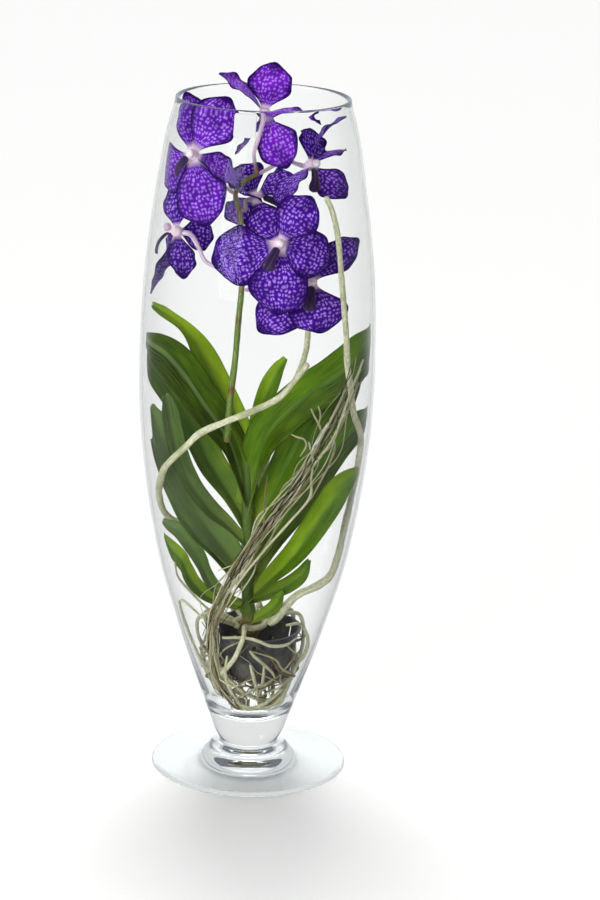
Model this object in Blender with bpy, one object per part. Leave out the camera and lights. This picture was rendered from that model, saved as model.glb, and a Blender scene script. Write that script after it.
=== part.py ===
# Vanda orchid standing in a tall footed glass vase, at real size.
# All driving sizes are in millimetres. +Z is up, the camera side is -Y, and the
# origin is the centre of the vase's underside.

import collections
import math
import random

import bpy
import bmesh
import numpy as np

MM = 0.001

# Glass vase: outside radius at each height, from the neck up to the rim.
VASE_HEIGHT = 600.0
VASE_OUTSIDE = [(24.0, 20.0), (30.3, 31.0), (35.3, 45.0), (47.7, 80.0), (66.1, 135.0),
                (86.3, 210.0), (100.7, 320.0), (99.3, 440.0), (85.2, 550.0), (74.0, 598.4)]
VASE_FOOT = [(0, 1.8), (57, 1.6), (60, 0), (84.5, 0), (86.5, 1.4), (85.9, 3.0), (62, 6.0),
             (42, 10.0), (35.5, 14.0), (34.5, 18.0), (27, 20.0)]
VASE_RIM = [(73.0, 600.0), (71.6, 599.4)]
VASE_BODY_RINGS = 12
VASE_WELL_RINGS = 9
VASE_SIDES = 36
WALL = 3.0
WALL_EXTRA_LOW = 4.0
WALL_FADE = 26.0
WELL_FLOOR = 47.0
WELL_TOP = 68.0
WELL_SLACK = 1.6

# Paper label, bare, on the glass below the rim.
LABEL_SIZE = (18.5, 19.0)
LABEL_TOP = 597.6
LABEL_TURN = -101.0
LABEL_THICK = 0.6
LABEL_GAP = 0.45

# Net basket that the plant was grown in.
BASKET_CENTRE = (3.0, 0.0)
BASKET_TOP = 127.8
BASKET_FLOOR = 87.0
BASKET_RADII = (32.0, 39.0)
BASKET_RIM = 41.5
BASKET_WALL = 1.6
BASKET_HOLE = 14.0
BASKET_SLOTS = 12
SLOT_WIDTH = 3.4
SLOTS_LOW = (93.0, 107.0)
SLOTS_HIGH = (112.0, 123.0)

# Stem: leans back and to the left from the basket's floor.
STEM_ROUTE = [(2, -4, 94), (-3, -3, 150), (-5, 1, 220), (-7, 8, 288)]
STEM_RADIUS = 6.0
CROWN_SIZE = (11.0, 11.0, 9.0)
CROWN_HEIGHT = 128.0

# Leaves and tepals.
LEAF_THICK = 1.4
LEAF_FOLD = (54.0, 78.0)
LEAF_CLASP = 0.80
TIP_NOTCH = 0.30
TEPAL_THICK = 0.9
TEPAL_ROOT = 2.0
WAVE = 0.04
TIP_ROUND = 0.09
PETAL_CLEAR = 1.6


def smooth_path(points, count):
    """A Catmull-Rom curve through the points, as count points evenly spaced along it."""
    p = np.array(points, float)
    p = np.vstack([2 * p[0] - p[1], p, 2 * p[-1] - p[-2]])
    fine = []
    for i in range(1, len(p) - 2):
        for t in np.linspace(0, 1, 16, endpoint=False):
            a, b, c, d = p[i - 1:i + 3]
            fine.append(0.5 * (2 * b + (c - a) * t + (2 * a - 5 * b + 4 * c - d) * t * t
                               + (3 * b - a - 3 * c + d) * t ** 3))
    fine = np.array(fine + [p[-2]])
    run = np.concatenate([[0], np.cumsum(np.linalg.norm(np.diff(fine, axis=0), axis=1))])
    at = np.linspace(0, run[-1], count)
    return np.stack([np.interp(at, run, fine[:, k]) for k in range(fine.shape[1])], 1)


def smoothstep(low, high, x):
    t = min(1.0, max(0.0, (x - low) / (high - low)))
    return t * t * (3 - 2 * t)


def unit(v):
    v = np.asarray(v, float)
    return v / np.linalg.norm(v)


OUTSIDE_CURVE = smooth_path(VASE_OUTSIDE, 160)


def glass_outside(z):
    return float(np.interp(z, OUTSIDE_CURVE[:, 1], OUTSIDE_CURVE[:, 0]))


def glass_inside(z):
    """Inside radius of the glass: the wall thickens downwards and rounds into the well's floor."""
    z = max(z, WELL_FLOOR)
    over = max(z, WELL_TOP)
    radius = glass_outside(over) - WALL - WALL_EXTRA_LOW * math.exp((WELL_FLOOR - over) / WALL_FADE)
    rise = min(1.0, (z - WELL_FLOOR) / (WELL_TOP - WELL_FLOOR))
    return radius * math.sqrt(max(0.0, 1 - (1 - rise) ** 2.2))


def inside_glass(point, clear):
    """The point, pulled in so that it stays clear of the glass, as a petal pressed on it lies."""
    x, y, z = point
    if z > VASE_HEIGHT + 6.0:
        return np.array(point)
    limit = glass_inside(min(z, VASE_HEIGHT)) - clear - WELL_SLACK * (1 - smoothstep(55, 75, z))
    reach = math.hypot(x, y)
    soft = 0.9 * limit
    if reach <= soft:
        return np.array(point)
    held = soft + (limit - soft) * math.tanh((reach - soft) / (limit - soft))
    return np.array([x * held / reach, y * held / reach, z])


def material(name, colour, roughness, metallic=0.0):
    made = bpy.data.materials.new(name)
    made.use_nodes = True
    shader = made.node_tree.nodes["Principled BSDF"]
    shader.inputs["Base Color"].default_value = (*colour, 1.0)
    shader.inputs["Roughness"].default_value = roughness
    shader.inputs["Metallic"].default_value = metallic
    return made


def add_mesh(name, points, faces, finish, collection=None):
    """An object from points in millimetres and faces, with its normals facing out."""
    mesh = bpy.data.meshes.new(name)
    mesh.from_pydata([tuple(float(c) * MM for c in p) for p in points], [], faces)
    work = bmesh.new()
    work.from_mesh(mesh)
    bmesh.ops.recalc_face_normals(work, faces=work.faces)
    work.to_mesh(mesh)
    work.free()
    mesh.materials.append(finish)
    obj = bpy.data.objects.new(name, mesh)
    (collection or bpy.context.scene.collection).objects.link(obj)
    return obj


def tube(name, route, radii, sides, finish, collection=None):
    """A closed round tube along the route, its radius following radii from start to end."""
    route = np.array(route, float)
    radii = np.interp(np.linspace(0, 1, len(route)), np.linspace(0, 1, len(radii)), radii)
    along = np.gradient(route, axis=0)
    side = unit(np.cross(along[0], (0.31, 0.87, 0.38)))
    points, faces = [], []
    for centre, direction, radius in zip(route, along, radii):
        direction = unit(direction)
        side = unit(side - direction * float(side @ direction))
        other = np.cross(direction, side)
        for k in range(sides):
            turn = 2 * math.pi * k / sides
            points.append(centre + radius * (side * math.cos(turn) + other * math.sin(turn)))
    for i in range(len(route) - 1):
        for k in range(sides):
            j = (k + 1) % sides
            faces.append((i * sides + k, i * sides + j, (i + 1) * sides + j, (i + 1) * sides + k))
    faces.append(tuple(range(sides))[::-1])
    faces.append(tuple((len(route) - 1) * sides + k for k in range(sides)))
    return add_mesh(name, points, faces, finish, collection)


def ball(name, centre, radii, finish, collection=None, across=8, up=5):
    """A closed ellipsoid of few faces."""
    points = [np.array(centre) + (0, 0, radii[2])]
    for i in range(1, up):
        tilt = math.pi * i / up
        for k in range(across):
            turn = 2 * math.pi * k / across
            points.append(np.array(centre) + (radii[0] * math.sin(tilt) * math.cos(turn),
                                              radii[1] * math.sin(tilt) * math.sin(turn),
                                              radii[2] * math.cos(tilt)))
    points.append(np.array(centre) - (0, 0, radii[2]))
    last = len(points) - 1
    faces = []
    for k in range(across):
        j = (k + 1) % across
        faces.append((0, 1 + k, 1 + j))
        for i in range(up - 2):
            a, b = 1 + i * across, 1 + (i + 1) * across
            faces.append((a + k, b + k, b + j, a + j))
        faces.append((last, last - across + j, last - across + k))
    return add_mesh(name, points, faces, finish, collection)


def sheet(name, rows, thick, finish, collection=None):
    """A blade: rows of points, split into triangles, given its thickness by Solidify."""
    nv = len(rows[0])
    points = [p for row in rows for p in row]
    faces = []
    for i in range(len(rows) - 1):
        for j in range(nv - 1):
            a, b, c, d = i * nv + j, i * nv + j + 1, (i + 1) * nv + j + 1, (i + 1) * nv + j
            faces += [(a, b, c), (a, c, d)] if j < (nv - 1) / 2 else [(a, b, d), (b, c, d)]
    obj = add_mesh(name, points, faces, finish, collection)
    solid = obj.modifiers.new("thickness", "SOLIDIFY")
    solid.thickness = thick * MM
    solid.offset = 0.0
    return obj


def apply_modifiers(obj):
    bpy.context.view_layer.update()
    graph = bpy.context.evaluated_depsgraph_get()
    mesh = bpy.data.meshes.new_from_object(obj.evaluated_get(graph))
    obj.modifiers.clear()
    obj.data = mesh


def joined(name, collection, finish):
    """One solid from every object of the collection, by a Boolean union that is applied.

    EXACT leaves edges open where the thin blades cross, so the union is by MANIFOLD.
    """
    pieces = list(collection.objects)
    for piece in pieces:
        apply_modifiers(piece)
    first = pieces[0]
    collection.objects.unlink(first)
    bpy.context.scene.collection.objects.link(first)
    union = first.modifiers.new("join", "BOOLEAN")
    union.operation = "UNION"
    union.operand_type = "COLLECTION"
    union.collection = collection
    union.solver = "MANIFOLD"
    apply_modifiers(first)
    for piece in pieces[1:]:
        bpy.data.objects.remove(piece)
    bpy.data.collections.remove(collection)
    first.name = name
    first.data.materials.clear()
    first.data.materials.append(finish)
    return first


def new_group(name):
    group = bpy.data.collections.new(name)
    bpy.context.scene.collection.children.link(group)
    return group


def lathe(name, profile, sides, finish):
    """A closed solid turned about Z; a profile point on the axis becomes one point."""
    points, rings = [], []
    for radius, height in profile:
        if radius < 0.01:
            rings.append([len(points)] * sides)
            points.append((0, 0, height))
            continue
        rings.append(list(range(len(points), len(points) + sides)))
        for k in range(sides):
            turn = 2 * math.pi * k / sides
            points.append((radius * math.cos(turn), radius * math.sin(turn), height))
    faces = []
    for low, high in zip(rings, rings[1:]):
        for k in range(sides):
            j = (k + 1) % sides
            corner = dict.fromkeys((low[k], low[j], high[j], high[k]))
            faces.append(tuple(corner))
    obj = add_mesh(name, points, faces, finish)
    obj.data.shade_smooth()
    return obj


def vase_profile():
    """The glass's whole section: underside, foot, collar, body, rim and the well inside."""
    body = [tuple(p) for p in smooth_path(VASE_OUTSIDE, VASE_BODY_RINGS)]
    heights = [*np.linspace(VASE_HEIGHT - 4, WELL_TOP, VASE_WELL_RINGS), 60, 53, 48.5]
    well = [(glass_inside(z), z) for z in heights] + [(0, WELL_FLOOR)]
    return VASE_FOOT + body + VASE_RIM + well


def build_label(finish):
    """A thin card that follows the glass's curve, just off it."""
    width, tall = LABEL_SIZE
    rows_out, rows_in = [], []
    for z in (LABEL_TOP - tall, LABEL_TOP - tall / 2, LABEL_TOP):
        radius = glass_outside(z) + LABEL_GAP
        half = math.degrees(width / 2 / radius)
        turns = [math.radians(LABEL_TURN + half * s) for s in (-1, -0.33, 0.33, 1)]
        rows_in.append([(radius * math.cos(t), radius * math.sin(t), z) for t in turns])
        out = radius + LABEL_THICK
        rows_out.append([(out * math.cos(t), out * math.sin(t), z) for t in turns])
    points = [p for row in rows_in + rows_out for p in row]
    nv, nr = len(rows_in[0]), len(rows_in)
    half_count = nv * nr
    faces = []
    for i in range(nr - 1):
        for j in range(nv - 1):
            a = i * nv + j
            quad = (a, a + 1, a + nv + 1, a + nv)
            faces.append(quad[::-1])
            faces.append(tuple(q + half_count for q in quad))
    edge = (list(range(nv)) + [i * nv + nv - 1 for i in range(1, nr)]
            + [(nr - 1) * nv + j for j in range(nv - 2, -1, -1)] + [nv])
    for a, b in zip(edge, edge[1:] + edge[:1]):
        faces.append((a, b, b + half_count, a + half_count))
    return add_mesh("paper_label", points, faces, finish)


def build_basket(finish):
    """A slotted plastic cup: a sheet with its slots left out, thickened by Solidify."""
    low, high = BASKET_RADII
    rings = [(BASKET_HOLE, BASKET_FLOOR), (low, BASKET_FLOOR)]
    for z in (*SLOTS_LOW, *SLOTS_HIGH, BASKET_TOP):
        rings.append((low + (high - low) * (z - BASKET_FLOOR) / (BASKET_TOP - BASKET_FLOOR), z))
    rings.append((BASKET_RIM, BASKET_TOP))
    turns = [2 * math.pi * k / BASKET_SLOTS + side * SLOT_WIDTH / 2 / high
             for k in range(BASKET_SLOTS) for side in (-1, 1)]
    n = len(turns)
    points = [(BASKET_CENTRE[0] + r * math.cos(t), BASKET_CENTRE[1] + r * math.sin(t), z)
              for r, z in rings for t in turns]
    faces = [tuple(range(n))[::-1]]
    for i in range(len(rings) - 1):
        for k in range(n):
            low_slot = i == 2 and k % 4 == 0
            high_slot = i == 4 and k % 4 == 2
            if low_slot or high_slot:
                continue
            j = (k + 1) % n
            faces.append((i * n + k, i * n + j, (i + 1) * n + j, (i + 1) * n + k))
    obj = add_mesh("net_basket", points, faces, finish)
    solid = obj.modifiers.new("wall", "SOLIDIFY")
    solid.thickness = BASKET_WALL * MM
    solid.offset = 0.0
    solid.use_even_offset = True
    return obj


def stem_point(height):
    route = smooth_path(STEM_ROUTE, 60)
    return np.array([np.interp(height, route[:, 2], route[:, k]) for k in range(3)])


# Leaves: the midrib's points from the stem to the tip, the width, how far the upper face
# turns to the camera side at the base and at the tip (degrees), how far the leaf stays off
# the glass, and its taper: where the taper starts and ends, and the width's share left there.
Leaf = collections.namedtuple("Leaf", "midrib width turn_base turn_tip clear taper",
                              defaults=[(0.70, 1.0, 0.38)])
LEAVES = [
    Leaf([(-5, 8, 280), (-15, 11, 307), (-29, 14, 334), (-42, 15, 360), (-53, 14, 381),
          (-64, 11, 396), (-77, 6, 407), (-92, 0, 418)], 25, 40, 66, 1.8, (0.50, 0.85, 0.22)),
    Leaf([(-7, 4, 241), (-20, 2, 289), (-34, -3, 315), (-47, -8, 335), (-60, -13, 356),
          (-75, -18, 376), (-88, -21, 387), (-101, -22, 393)], 35, 40, 80, 1.5, (0.74, 1.0, 0.45)),
    Leaf([(-7, 6, 220), (-22, 8, 248), (-39, 10, 274), (-50, 10, 298), (-62, 9, 322),
          (-76, 6, 344), (-90, 1, 361), (-105, -4, 377)], 29, 40, 74, 1.5, (0.75, 1.0, 0.55)),
    Leaf([(-8, -4, 206), (-24, -10, 225), (-40, -15, 242), (-54, -20, 263), (-64, -24, 287),
          (-71, -27, 314), (-77, -30, 346)], 18, 50, 80, 6.0, (0.85, 1.0, 0.6)),
    Leaf([(-6, -4, 170), (-27, -10, 205), (-46, -15, 232), (-61, -20, 261), (-72, -24, 286),
          (-80, -28, 310), (-92, -33, 336)], 32, 55, 82, 2.4, (0.72, 1.0, 0.42)),
    Leaf([(-4, 0, 157), (-22, -4, 182), (-35, -7, 202), (-48, -10, 218), (-59, -13, 236),
          (-68, -16, 257), (-77, -19, 280), (-90, -24, 305)], 20, 40, 78, 2.2, (0.72, 1.0, 0.5)),
    Leaf([(-4, -4, 144), (-24, -10, 152), (-40, -15, 161), (-51, -19, 173), (-57, -22, 185),
          (-62, -26, 197), (-70, -29, 208), (-81, -33, 221)], 15, 30, 74, 2.4, (0.70, 1.0, 0.5)),
    Leaf([(-4, 0, 146), (-18, -3, 151), (-31, -6, 162), (-40, -9, 176), (-46, -12, 192),
          (-54, -15, 207), (-64, -17, 220), (-79, -20, 230)], 15, 30, 76, 3.0, (0.70, 1.0, 0.5)),
    Leaf([(-5, 10, 267), (-1, 18, 298), (7, 22, 331), (16, 22, 354), (24, 20, 368)],
         17, 50, 80, 3.0),
    Leaf([(-5, 2, 238), (6, -2, 295), (22, -6, 321), (44, -10, 344), (65, -13, 360),
          (80, -14, 374), (90, -13, 388), (106, -8, 403)], 37, 55, 82, 1.5, (0.76, 1.0, 0.42)),
    Leaf([(-4, 4, 203), (8, 5, 231), (21, 6, 261), (33, 7, 289), (45, 8, 314), (58, 8, 333),
          (72, 8, 348), (88, 6, 361), (111, 3, 369)], 29, 50, 80, 1.6, (0.60, 0.88, 0.28)),
    Leaf([(-3, 8, 184), (13, 12, 206), (27, 15, 229), (43, 18, 256), (57, 19, 279),
          (68, 18, 298), (76, 16, 317), (83, 13, 336), (92, 9, 358)], 18, 30, 70, 4.0),
    Leaf([(-3, 2, 170), (9, 5, 188), (24, 6, 215), (39, 6, 239), (52, 5, 261), (64, 3, 282),
          (76, 0, 301), (89, -4, 316), (108, -9, 330)], 26, 45, 80, 1.8, (0.78, 1.0, 0.6)),
    Leaf([(-2, -4, 154), (21, -15, 182), (37, -21, 203), (50, -25, 225), (61, -28, 245),
          (71, -30, 263), (82, -31, 275), (99, -29, 281)], 24, 45, 78, 2.4, (0.72, 1.0, 0.5)),
    Leaf([(-2, -2, 146), (4, -6, 154), (17, -10, 163), (32, -14, 172), (43, -18, 183),
          (49, -20, 197)], 15, 30, 70, 3.0),
    Leaf([(-2, -6, 132), (10, -12, 143), (20, -16, 153), (27, -18, 167)], 12, 40, 70, 3.0),
]


def leaf_half_width(t, taper):
    """Share of the full half-width along a strap leaf, from its clasping base to its cut tip."""
    start, end, left = taper
    base = LEAF_CLASP + (1.0 - LEAF_CLASP) * smoothstep(0.0, 0.35, t)
    return base * (1.0 - (1.0 - left) * smoothstep(start, end, t) ** 1.3)


def leaf_rows(leaf, along, across):
    """The points of a strap leaf's middle surface, folded along its midrib, its tip notched."""
    midrib = smooth_path(leaf.midrib, along + 1)
    directions = np.gradient(midrib, axis=0)
    outward = math.copysign(1.0, leaf.midrib[-1][0] - leaf.midrib[0][0])
    rows = []
    for i in range(along + 1):
        t = i / along
        direction = unit(directions[i])
        camera_side = outward * unit(np.cross(direction, (0, 0, 1)))
        over = unit(outward * np.cross(camera_side, direction))
        turned = (leaf.turn_tip - leaf.turn_base) * smoothstep(0.0, 0.7, t)
        turn = math.radians(leaf.turn_base + turned)
        normal = over * math.cos(turn) + camera_side * math.sin(turn)
        side = np.cross(direction, normal)
        fold = math.radians(LEAF_FOLD[0] + (LEAF_FOLD[1] - LEAF_FOLD[0]) * smoothstep(0.0, 0.6, t))
        half = leaf.width / 2 * leaf_half_width(t, leaf.taper)
        line = []
        for j in range(across + 1):
            v = 2 * j / across - 1
            point = (midrib[i] + side * v * half * math.sin(fold)
                     + normal * abs(v) * half * math.cos(fold))
            if i == along:
                point = point + direction * half * TIP_NOTCH * (abs(v) * 3.8 - v * v * 3.2)
            line.append(inside_glass(point, leaf.clear))
        rows.append(line)
    return rows


def build_leafy_stem(finish):
    """The shoot: a ringed axis with its crown in the basket, and its two ranks of leaves."""
    group = new_group("leafy_stem_parts")
    route = smooth_path(STEM_ROUTE, 14)
    tube("stem_axis", route, [STEM_RADIUS, STEM_RADIUS, STEM_RADIUS * 0.7], 7, finish, group)
    ball("stem_crown", stem_point(CROWN_HEIGHT), CROWN_SIZE, finish, group)
    for k, leaf in enumerate(LEAVES):
        along = max(5, len(leaf.midrib) - 1)
        sheet(f"leaf_{k}", leaf_rows(leaf, along, 4), LEAF_THICK, finish, group)
    return joined("leafy_stem", group, finish)


# Flower spike: its route up from among the leaves, and its radii.
SPIKE_ROUTE = [(-25, -18, 302), (-24, -19, 318), (-22, -19, 347), (-19, -18, 377),
               (-17, -16, 410), (-15, -13, 438), (-15, -8, 469), (-18, -3, 499), (-22, 1, 517),
               (-14, 3, 527), (-3, 4, 533)]
SPIKE_RADII = [2.9, 2.7, 2.5, 2.4, 2.3, 1.9]

# Blooms: name, centre, facing of the column, way of the lip, place on the spike where the
# pedicel leaves, a point that it passes, then the tepals. Each tepal has its tip's place from
# the centre, its width, the way its face looks and how far it arches that way.
Bloom = collections.namedtuple("Bloom", "name centre facing lip_way leaves_at passes tepals")
BLOOMS = [
    Bloom("bloom_a", (1, 2, 586), (0.1, 0.8, 0.45), (0, 0.3, -0.9), (-4, 4, 532.5), (-7, -10, 552), [
        ((8, -8, 44), 38, (0.1, -1, 0.1), -2), ((-39, -6, 33), 36, (0.6, -0.1, 0.79), 3),
        ((48, 4, -10), 36, (0.2, 0.1, 0.97), 5), ((20, -12, -45), 36, (0.1, -1, 0.2), -2),
        ((-24, 10, -38), 30, (0.8, -0.3, -0.5), 2)]),
    Bloom("bloom_b", (-58, -32, 555), (-0.25, -0.95, 0.15), (-0.7, -0.35, -0.6), (-22, 1, 515),
     (-42, -12, 534), [
        ((-7, 26, 48), 38, (0.2, -0.85, 0.45), 4), ((30, 10, 47), 40, (0.1, -1, 0.25), 4),
        ((-27, 33, -26), 42, (-0.6, -0.75, 0.1), 5), ((13, -14, -58), 44, (0, -1, 0.2), 5),
        ((40, 6, -28), 40, (0.45, -0.35, 0.8), 5)]),
    Bloom("bloom_c", (41, 8, 541), (0.5, -0.85, 0.2), (-0.2, -0.3, -0.9), (-4.6, 4, 532.2), (20, 6, 545), [
        ((0, 18, 28), 36, (0.7, -0.6, 0.3), 2), ((31, -2, 43), 34, (-0.8, 0.05, 0.58), 8),
        ((32, 26, 9), 26, (-0.1, 0.1, 1), 4), ((31, -16, -24), 30, (0.3, -0.85, 0.5), -2),
        ((-24, -34, -29), 40, (-0.7, -0.3, 0.65), 4)]),
    Bloom("bloom_d", (-71, -10, 485), (-0.9, 0.25, 0.18), (-0.3, 0, -0.95), (-15, -11.8, 446),
     (-44, -19, 460), [
        ((0, 15, 38), 29, (-0.5, -0.85, 0), 2), ((-24, 8, -57), 30, (0.85, -0.35, -0.3), 3),
        ((7, -16, -38), 28, (0.6, -0.8, 0.2), 3), ((-9, 20, -28), 22, (-0.8, -0.4, 0.3), 2),
        ((31, 16, -8), 30, (0.3, -0.8, 0.4), 1)]),
    Bloom("bloom_e", (16, -50, 485), (-0.05, -0.98, 0.1), (-0.45, -0.3, -0.85), (-15.2, -9.9, 458),
     (2, -28, 464), [
        ((-56, 2, -18), 50, (0.1, -1, 0.1), 5), ((1, -10, -59), 50, (0, -1, 0.05), 6),
        ((44, 6, -17), 44, (-0.2, -0.8, 0.5), 7), ((26, 8, 39), 38, (-0.2, -0.95, 0.2), 4),
        ((-21, 14, 26), 36, (0.2, -0.9, 0.4), 3)]),
    Bloom("bloom_f", (44, -20, 446), (0.05, -0.97, 0.15), (-0.1, -0.25, -0.95), (-15.3, -13.3, 436),
     (14, -11, 436), [
        ((10, -14, -41), 50, (0, -1, 0.1), 4), ((-44, -6, -43), 40, (0, -1, 0), 4),
        ((39, 2, 38), 30, (-0.2, -0.7, 0.6), 4), ((-5, 12, 37), 34, (0, -1, 0.2), 2),
        ((-38, 6, 6), 36, (0, -1, 0.2), 2)]),
    Bloom("bloom_g", (-5, 18, 510), (0.6, 0.7, 0.1), (0.8, 0.1, -0.2), (-18, -3, 502), (-13, 5, 502), [
        ((-14, 20, 24), 34, (-0.3, -0.5, 0.8), 3), ((-11, -14, 5), 34, (-0.2, -0.5, 0.85), 3),
        ((-26, -4, -18), 28, (-0.5, -0.7, 0.4), -2), ((32, 2, 20), 34, (0, -0.4, 0.9), 3),
        ((12, 10, -34), 34, (0, -1, 0), -2)]),
]


def tepal_half_width(u):
    """Share of the full half-width along a tepal: a narrow claw, then a broad rounded blade."""
    wide = 0.17 + 0.83 * smoothstep(0.02, 0.5, u)
    if u > 0.56:
        wide *= math.sqrt(max(0.0, 1 - ((u - 0.56) / 0.465) ** 2))
    return wide


def tepal_rows(centre, tepal, seed, along, across):
    """A tepal's middle surface, from the bloom's centre out to its tip, cupped and waved."""
    reach, width, face, arch = tepal
    reach = np.array(reach, float)
    drawn = random.Random(seed)
    phase = drawn.uniform(0, 6.28)
    cup = drawn.uniform(-0.10, 0.14)
    root = unit(reach) * TEPAL_ROOT
    bulge = (root + reach) / 2 + unit(face) * arch * 2
    rows = []
    for i in range(along + 1):
        u = 1 - (1 - i / along) ** 1.3
        place = (1 - u) ** 2 * root + 2 * u * (1 - u) * bulge + u * u * reach
        direction = unit((1 - u) * (bulge - root) + u * (reach - bulge))
        side = unit(np.cross(direction, face))
        normal = np.cross(side, direction)
        half = width / 2 * tepal_half_width(u)
        line = []
        for j in range(across + 1):
            v = 2 * j / across - 1
            ripple = WAVE * width * math.sin(7.0 * u + phase + 1.7 * v) * smoothstep(0.2, 0.6, u)
            line.append(inside_glass(
                np.array(centre) + place + side * v * half
                + normal * v * v * (cup * half + ripple)
                - direction * TIP_ROUND * np.linalg.norm(reach) * v * v * u ** 3, PETAL_CLEAR))
        rows.append(line)
    return rows


# Parts of a bloom, in millimetres from its centre: to its right, against its lip's way, and
# along its facing. The lip has the half-width of its section at each point of its spine.
RECEPTACLE = 5.0
COLUMN_SPINE = [(0, 0.2, 5.5), (0, 1.2, 9.0), (0, 0.6, 12.5)]
COLUMN_RADII = [3.0, 3.5, 3.6, 2.2]
LIP_SPINE = [(-2.8, 7.0, 3.2), (-8, 10.5, 3.6), (-14, 13.6, 4.2), (-20, 14.4, 5.6), (-24, 13, 3.4)]
LIP_SECTION = [(-1, 0.3), (-0.45, 1.7), (0, 0.9), (0.45, 1.7), (1, 0.3), (0, -1.7)]
PEDICEL_BACK = (0, 0, -13)
PEDICEL_END = (0, 0, -5.0)
PEDICEL_GAP = 0.5
PEDICEL_RADII = [1.6, 1.6, 1.8, 2.2]


def bloom_point(bloom, x, y, z):
    """The place of a point given in the bloom's own directions."""
    front = unit(bloom.facing)
    top = -unit(np.array(bloom.lip_way, float) - front * float(np.dot(bloom.lip_way, front)))
    return np.array(bloom.centre) + np.cross(top, front) * x + top * y + front * z


def build_bloom(bloom, index, finishes):
    """Tepals fused round a receptacle, then the column, the lip and the pedicel."""
    group = new_group(bloom.name + "_parts")
    tepal_finish = finishes["tepal"]
    ball(bloom.name + "_receptacle", bloom.centre, [RECEPTACLE] * 3, tepal_finish, group, 5, 4)
    for k, tepal in enumerate(bloom.tepals):
        rows = tepal_rows(bloom.centre, tepal, 10 * index + k, 5, 4)
        sheet(f"{bloom.name}_tepal_{k}", rows, TEPAL_THICK, tepal_finish, group)
    joined(bloom.name + "_tepals", group, tepal_finish)
    build_column(bloom, finishes["column"])
    build_lip(bloom, finishes["lip"])
    build_pedicel(bloom, finishes["pedicel"])


def build_column(bloom, finish):
    """The short pale column that stands on the receptacle and leans over the lip."""
    route = [bloom_point(bloom, *p) for p in COLUMN_SPINE]
    tube(bloom.name + "_column", smooth_path(route, 4), COLUMN_RADII, 6, finish)


def build_lip(bloom, finish):
    """The small dark lip: one ridged tongue with a broad keeled end."""
    points = [inside_glass(bloom_point(bloom, half * x, y, z + up), PETAL_CLEAR)
              for y, z, half in LIP_SPINE for x, up in LIP_SECTION]
    n = len(LIP_SECTION)
    faces = [(i * n + k, i * n + (k + 1) % n, (i + 1) * n + (k + 1) % n, (i + 1) * n + k)
             for i in range(len(LIP_SPINE) - 1) for k in range(n)]
    faces.append(tuple(range(n))[::-1])
    faces.append(tuple(len(points) - n + k for k in range(n)))
    add_mesh(bloom.name + "_lip", points, faces, finish)


def build_pedicel(bloom, finish):
    """The pale flower stalk, from beside the spike to just behind the receptacle."""
    start, through = np.array(bloom.leaves_at, float), np.array(bloom.passes, float)
    first = start + unit(through - start) * (spike_radius(start[2]) + PEDICEL_GAP)
    back, end = bloom_point(bloom, *PEDICEL_BACK), bloom_point(bloom, *PEDICEL_END)
    route = smooth_path([first, through, (through + back) / 2, back, end], 7)
    tube(bloom.name + "_pedicel", route, PEDICEL_RADII, 5, finish)


def spike_radius(height):
    low, high = SPIKE_ROUTE[0][2], SPIKE_ROUTE[-1][2]
    stops = np.linspace(low, high, len(SPIKE_RADII))
    return float(np.interp(height, stops, SPIKE_RADII))


def build_spike(finish):
    tube("flower_spike", smooth_path(SPIKE_ROUTE, 18), SPIKE_RADII, 6, finish)


# Thick aerial roots: the points that each passes, and its radii from its base to its tip.
AERIAL_STOPS = 1.5
AERIAL_STOPS_MOST = 30
AERIAL_CLEAR = 3.9
AERIAL_ROOTS = {
    "aerial_root_right": ([(15, -10, 134), (22, -13, 140), (30, -13, 152), (41, -10, 162),
                           (58, -8, 170), (71, -4, 180), (81, 0, 200), (84, 0, 222),
                           (89, -2, 245), (93, -4, 263), (97, -6, 276), (99, -8, 290),
                           (96, -14, 305), (90, -22, 318), (84, -28, 330), (81, -32, 345),
                           (79, -33, 360), (76, -35, 378), (74, -38, 406), (71, -42, 432),
                           (67, -44, 467), (65, -44, 485), (62, -42, 501), (58, -41, 514),
                           (53, -40, 524)],
                          [3.6, 3.4, 2.9, 2.6, 2.4, 2.3]),
    "aerial_root_left": ([(-11, 11, 192), (-20, 15, 199), (-37, 19, 208), (-56, 15, 216),
                          (-71, 2, 224), (-80, -10, 238), (-84, -23, 256), (-84, -38, 270),
                          (-79, -45, 284), (-72, -49, 293), (-59, -52, 307), (-47, -54, 320),
                          (-27, -54, 330), (-11, -54, 337), (-1, -52, 341), (10, -50, 346),
                          (21, -48, 353), (31, -46, 365), (43, -44, 381)],
                         [3.2, 3.0, 2.8, 2.8, 2.5]),
    "aerial_root_back": ([(-2, 11, 238), (6, 22, 262), (18, 32, 298), (29, 36, 333),
                          (37, 34, 352), (42, 26, 373), (43, 14, 388), (43, 5, 410),
                          (44, 6, 428)], [3.0, 2.8, 2.4]),
}


def build_aerial_roots(finish):
    for name, (route, radii) in AERIAL_ROOTS.items():
        stops = min(round(AERIAL_STOPS * len(route)), AERIAL_STOPS_MOST)
        held = [inside_glass(p, AERIAL_CLEAR) for p in smooth_path(route, stops)]
        tube(name, held, radii, 6, finish)


# Thin roots: the long bundle from the well's floor past the basket and up to the right, with
# the first and the last stop of each strand in it.
BUNDLE_ROUTE = [(-6, -8, 57), (-20, -27, 76), (-30, -37, 102), (-33, -42, 129), (-30, -43, 153),
                (-20, -42, 176), (-6, -40, 198), (8, -40, 226), (28, -44, 256), (45, -48, 286),
                (60, -53, 314), (72, -53, 341), (81, -48, 362), (88, -39, 378)]
BUNDLE_STRANDS = [(0, 14), (0, 12), (0, 10), (2, 14), (0, 13)]
BUNDLE_TIE = 3
BUNDLE_SPREAD = 6.5
STRAND_RADII = [1.3, 1.3, 1.1, 0.8]

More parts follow.
